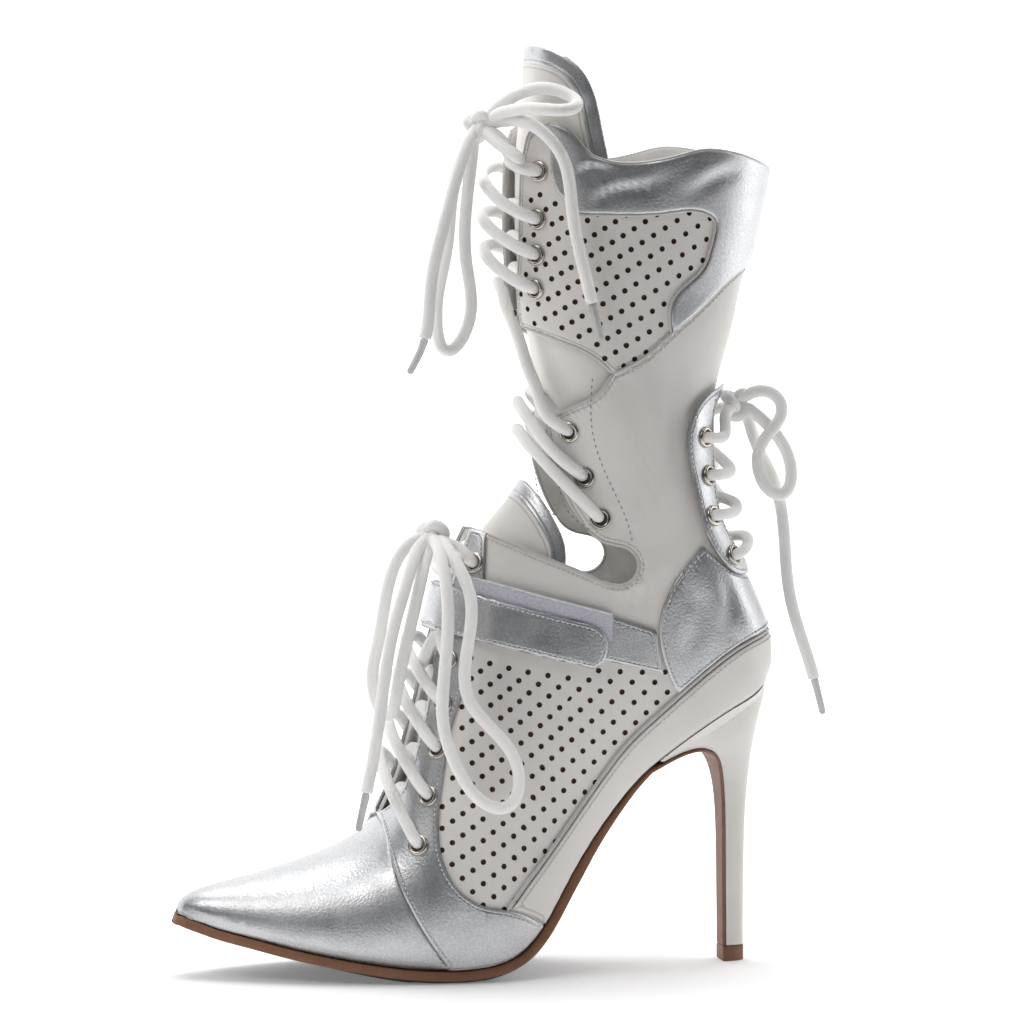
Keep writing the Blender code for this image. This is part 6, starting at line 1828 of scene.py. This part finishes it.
class BOOT_OT_panels(Operator):
    """Makes the sewn panels: eyestays, counter, collar, foxing, ankle bands and the piping"""

    bl_idname = "boot.panels"
    bl_label = "Sewn panels"

    def execute(self, context):
        white, lining = coat("white"), coat("lining")
        above = LAYER + LOOSE
        for name, loop, low, high, finish_word, nodes in (
            ("eyestays", STAY_LOOP, GAP, LAYER, "silver", both("eyestay")),
            ("rear_eyestays", REAR_STAY_LOOP, above, above + OVERLAY, "silver", both("rear_eyestay")),
            ("foxing", FOXING_LOOP, GAP, LAYER, "white", ["foxing"]),
            ("counter", COUNTER_LOOP, GAP, LAYER, "silver", ["counter"]),
            ("collar", COLLAR_LOOP, GAP, LAYER, "silver", ["collar"]),
            ("ankle_bands", band_loop(), LOOSE, LOOSE + OVERLAY, "silver", both("ankle_band")),
        ):
            piece = panel(f"{name}_dressed", loop, low, high, [coat(finish_word), lining],
                          stitched=name != "collar")
            dress(piece, f"{finish_word}_leather", *nodes)
        piping = to_back(border(PIPING))
        dress(bead("piping", [piping], 0.0007, 0.0009, white), "white_leather")
        rim = [border(FLAP_TOP), RIM_LINE]
        dress(bead("collar_binding", rim, 0.0007, -0.0003, white), "white_leather")
        cuts = (LOWER_FLAP, WINDOW_LOW, WINDOW_TOP, UPPER_FLAP, ANKLE_CUT, INSTEP_TOP)
        edges = [*(border(line) for line in cuts), TAB_LINE]
        dress(bead("turned_edges", edges, 0.00085, -0.0007, white), "white_leather")
        seam = border(SEAM)
        dress(bead("shaft_seam", [to_back(seam)], 0.0006, 0.0003, white), "white_leather")
        fold = next(line for line in (aside(COLLAR_LOW_LINE, 0.0005), aside(COLLAR_LOW_LINE, -0.0005))
                    if not within(line[8:12], COLLAR_LOOP).any())
        dress(bead("collar_piping", [fold], 0.0006, 0.0005, white), "white_leather")
        return {"FINISHED"}


class BOOT_OT_strap(Operator):
    """Makes the ankle strap and the tape it is fastened with"""

    bl_idname = "boot.strap"
    bl_label = "Strap"

    def execute(self, context):
        piece = panel("strap_dressed", strap_loop(), STRAP_LOW_OFF, STRAP_LOW_OFF + STRAP_WALL,
                      [coat("silver"), coat("lining")])
        dress(piece, "silver_leather", "ankle_strap")
        low, top = LAYER + LOOSE, TAPE_END[-1:] + TAPE_TOP[1:]
        loop = unique_loop([border(TAPE_UNDER), border(TAPE_END[:2]), border(TAPE_END[1:]), border(top),
                            border([top[-1], TAPE_UNDER[0]])])
        piece = panel("tape_dressed", loop, low, low + TAPE_WALL, [coat("tape"), coat("tape")], sides=(-1,))
        dress(piece, "loop_tape", "loop_tape")
        edge = bead("tape_edge", [border(top)], 0.0004, low + TAPE_WALL / 2, coat("thread"), sides=(-1,))
        dress(edge, "loop_tape")
        return {"FINISHED"}


def tongue_piece(node, top, side, foot, band):
    """A padded tongue with its silver band along the top."""
    first, last = from_ridge(border(top)), from_ridge(border(foot)[::-1])[::-1]
    flank = border(side)
    loop = unique_loop([first, flank, last, along_edge(last[-1, 0], first[0, 0], 0.0)])
    inner = next(line for line in (aside(first, band), aside(first, -band)) if within(line[4:9], loop).all())
    inner = inner[within(inner, loop)]
    edge = [lateral(first)]

    def paint(places):
        return np.where(distances(lateral(places), edge) < band, 2, 0)

    def sink(places):
        front = np.maximum(np.cos(places[:, 1]), 0) ** 4
        return front * (TONGUE_SINK + TONGUE_DEEPER)

    high = -WALL - TONGUE_CLEAR
    coats = [coat("white"), coat("lining"), coat("silver")]
    piece = panel(f"{node}_dressed", loop, high - TONGUE_WALL, high, coats, sink=sink,
                  lines=[inner[1:-1]], paint=paint, seams=[inner])
    dress(piece, "white_leather", node)


class BOOT_OT_tongues(Operator):
    """Makes the two padded tongues"""

    bl_idname = "boot.tongues"
    bl_label = "Tongues"

    def execute(self, context):
        tongue_piece("instep_tongue", TONGUE_TOP_INSTEP, TONGUE_SIDE_INSTEP, TONGUE_FOOT_INSTEP, 0.0055)
        tongue_piece("shaft_tongue", TONGUE_TOP_SHAFT, TONGUE_SIDE_SHAFT, TONGUE_FOOT_SHAFT, 0.0065)
        return {"FINISHED"}


class BOOT_OT_eyelets(Operator):
    """Sets the nickel eyelets"""

    bl_idname = "boot.eyelets"
    bl_label = "Eyelets"

    def execute(self, context):
        middle, thick = (EYELET_OUTER + EYELET_HOLE) / 4, (EYELET_OUTER - EYELET_HOLE) / 4
        for row, left, right, seat in EYELETS:
            for word, places in (("lateral", left), ("medial", right)):
                spots, shades = [], []
                for s, t in places:
                    up = outward(np.array([s]), np.array([abs(t)]), 1.0 if t < 0 else -1.0)[0]
                    spots.append((place(s, t, seat + GAP), (0.0, 0.1, 1.0), up))
                    shades.append((place(s, t, seat + 0.0003), (0.0, 0.1, 1.0), up))
                sizes = {"Radius": middle, "Thickness": thick}
                rims = repeated(f"{row}_eyelets_{word}", spots, ring, sizes, coat("nickel"))
                dress(rims, "nickel", *(f"{row}_eyelet_{word}_{i}" for i in range(1, len(places) + 1)))
                sizes = {"Radius": middle, "Depth": 0.0002}
                dark = repeated(f"{row}_eyelet_holes_{word}", shades, well, sizes, coat("dark"))
                dress(dark, "nickel")
        return {"FINISHED"}


class BOOT_OT_stitches(Operator):
    """Sews the stitches along the panels' edges"""

    bl_idname = "boot.stitches"
    bl_label = "Stitches"

    def execute(self, context):
        look = context.scene.boot
        pitch = look.stitch * 1.35
        sizes = {"Length": look.stitch, "Width": THREAD, "Height": THREAD}
        bright = []
        for loop, off in ((STAY_LOOP, LAYER), (REAR_STAY_LOOP, LAYER + LOOSE + OVERLAY),
                          (COUNTER_LOOP, LAYER), (band_loop(), LOOSE + OVERLAY),
                          (strap_loop(), STRAP_LOW_OFF + STRAP_WALL)):
            for line in inset(loop, STITCH_IN):
                bright += spots_along(line, pitch, off + STITCH_HIGH)
        dress(repeated("silver_stitches", bright, capsule, sizes, coat("thread")), "lace_white")
        pale = []
        edges = [border(line) for line in (INSTEP_TOP, ANKLE_CUT, LOWER_FLAP, UPPER_FLAP)]
        seam = to_back(border(SEAM))
        rows = [aside(seam, way) for way in (0.0024, -0.0024)]
        below = min(rows, key=lambda row: float(lateral(row)[:, 2].mean()))
        for line in [*inset(upper_loop(), STITCH_IN, edges), below]:
            pale += spots_along(line, pitch, STITCH_HIGH)
        for line in inset(FOXING_LOOP, STITCH_IN, [FOXING_TOP]):
            pale += spots_along(line, pitch, LAYER + STITCH_HIGH)
        dress(repeated("white_stitches", pale, capsule, sizes, coat("pale")), "lace_white")
        grey = []
        for points in GREY_STITCHES:
            grey += spots_along(border(points), pitch * 1.3, STITCH_HIGH)
        dress(repeated("grey_stitches", grey, capsule, sizes, coat("grey")), "lace_white")
        return {"FINISHED"}


class BOOT_OT_stage(Operator):
    """Sets the pale floor, its curved backdrop and the soft lights: the paper glows as painted light and is
    painted darker grey in front of the boot
    """

    bl_idname = "boot.stage"
    bl_label = "Stage"

    def execute(self, context):
        profile = [(-1.6, 0.0), (0.6, 0.0), (1.9, 0.0)]
        bend = np.linspace(0, np.pi / 2, 16)[1:]
        profile += [(1.9 + 1.5 * math.sin(a), 1.5 - 1.5 * math.cos(a)) for a in bend]
        profile.append((3.4, 8.8))
        points = [(x, y, z) for x in (-8.8, 8.6) for y, z in profile]
        n = len(profile)
        faces = [[i, n + i, n + i + 1, i + 1] for i in range(n - 1)]
        mesh = bpy.data.meshes.new("backdrop")
        mesh.from_pydata(points, [], faces)
        mesh.shade_smooth()
        paper, tree, shader = finish("white_paper", linear("F4F4F4"), 0.9)
        shader.inputs["Emission Color"].default_value = (1, 1, 1, 1)
        where = add(tree, "ShaderNodeTexCoord").outputs["Object"]
        away = add(tree, "ShaderNodeSeparateXYZ", links={"Vector": where}).outputs["Y"]
        under, beside_it, behind, far = PAPER_GLOW
        beyond = add(tree, "ShaderNodeMath", links={0: away}, operation="ABSOLUTE").outputs["Value"]
        # The paper's glow is painted light in place of lamp light: least under the boot, where its shadow
        # falls, more beside it, most far behind.
        glow = combined(tree, "ADD", level(tree, beyond, 0.03, 0.15, under, beside_it),
                        level(tree, away, 0.12, 0.50, 0.0, behind - beside_it),
                        level(tree, away, 0.50, 1.80, 0.0, far - behind))
        tree.links.new(glow, shader.inputs["Emission Strength"])
        # Painted shade: in front of the boot the paper turns darker grey, a dimmer floor for the boot to
        # reflect.
        toned(tree, shader, level(tree, away, -0.55, -0.22), linear("8C8C8C"), linear("F4F4F4"))
        mesh.materials.append(paper)
        linked("backdrop", mesh)
        target = Vector(CAMERA_TARGET)
        for name, at, size, power, colour in LIGHTS:
            lamp = bpy.data.lights.new(name, "AREA")
            lamp.shape, (lamp.size, lamp.size_y) = "RECTANGLE", size
            lamp.energy, lamp.color = power, linear(colour)
            thing = linked(name, lamp)
            thing.location = at
            thing.rotation_euler = (Vector(at) - target).to_track_quat("Z", "Y").to_euler()
        world = bpy.data.worlds.new("studio")
        world.use_nodes = True
        tree = world.node_tree
        sky = tree.nodes["Background"]
        where = add(tree, "ShaderNodeTexCoord").outputs["Generated"]
        apart = add(tree, "ShaderNodeSeparateXYZ", links={"Vector": where})
        tone = level(tree, apart.outputs["Z"], 0.0, 0.9, 0.05, 0.34)
        side = level(tree, apart.outputs["X"], -0.8, 0.8, 1.15, 0.65)
        tree.links.new(combined(tree, "MULTIPLY", tone, side), sky.inputs["Strength"])
        sky.inputs["Color"].default_value = (*linear("F4F6FA"), 1)
        context.scene.world = world
        context.scene.view_settings.view_transform = "Standard"
        return {"FINISHED"}


class BOOT_PT_panel(Panel):
    """The boot's sizes, colours and pieces"""

    bl_idname = "BOOT_PT_panel"
    bl_label = "Heeled boot"
    bl_space_type = "VIEW_3D"
    bl_region_type = "UI"
    bl_category = "Boot"

    def draw(self, context):
        for word in BootSettings.__annotations__:
            self.layout.prop(context.scene.boot, word)
        for kind in OPERATORS:
            self.layout.operator(kind.bl_idname)


OPERATORS = (BOOT_OT_camera, BOOT_OT_laces, BOOT_OT_sole, BOOT_OT_upper, BOOT_OT_panels, BOOT_OT_strap,
             BOOT_OT_tongues, BOOT_OT_eyelets, BOOT_OT_stitches, BOOT_OT_stage)


def register():
    for kind in (BootSettings, *OPERATORS, BOOT_PT_panel):
        bpy.utils.register_class(kind)
    bpy.types.Scene.boot = PointerProperty(type=BootSettings)


def unregister():
    del bpy.types.Scene.boot
    for kind in (BOOT_PT_panel, *OPERATORS[::-1], BootSettings):
        bpy.utils.unregister_class(kind)


def main():
    register()
    for kind in OPERATORS:
        group, name = kind.bl_idname.split(".")
        getattr(getattr(bpy.ops, group), name)()
    bpy.context.view_layer.update()


if __name__ == "__main__":
    main()
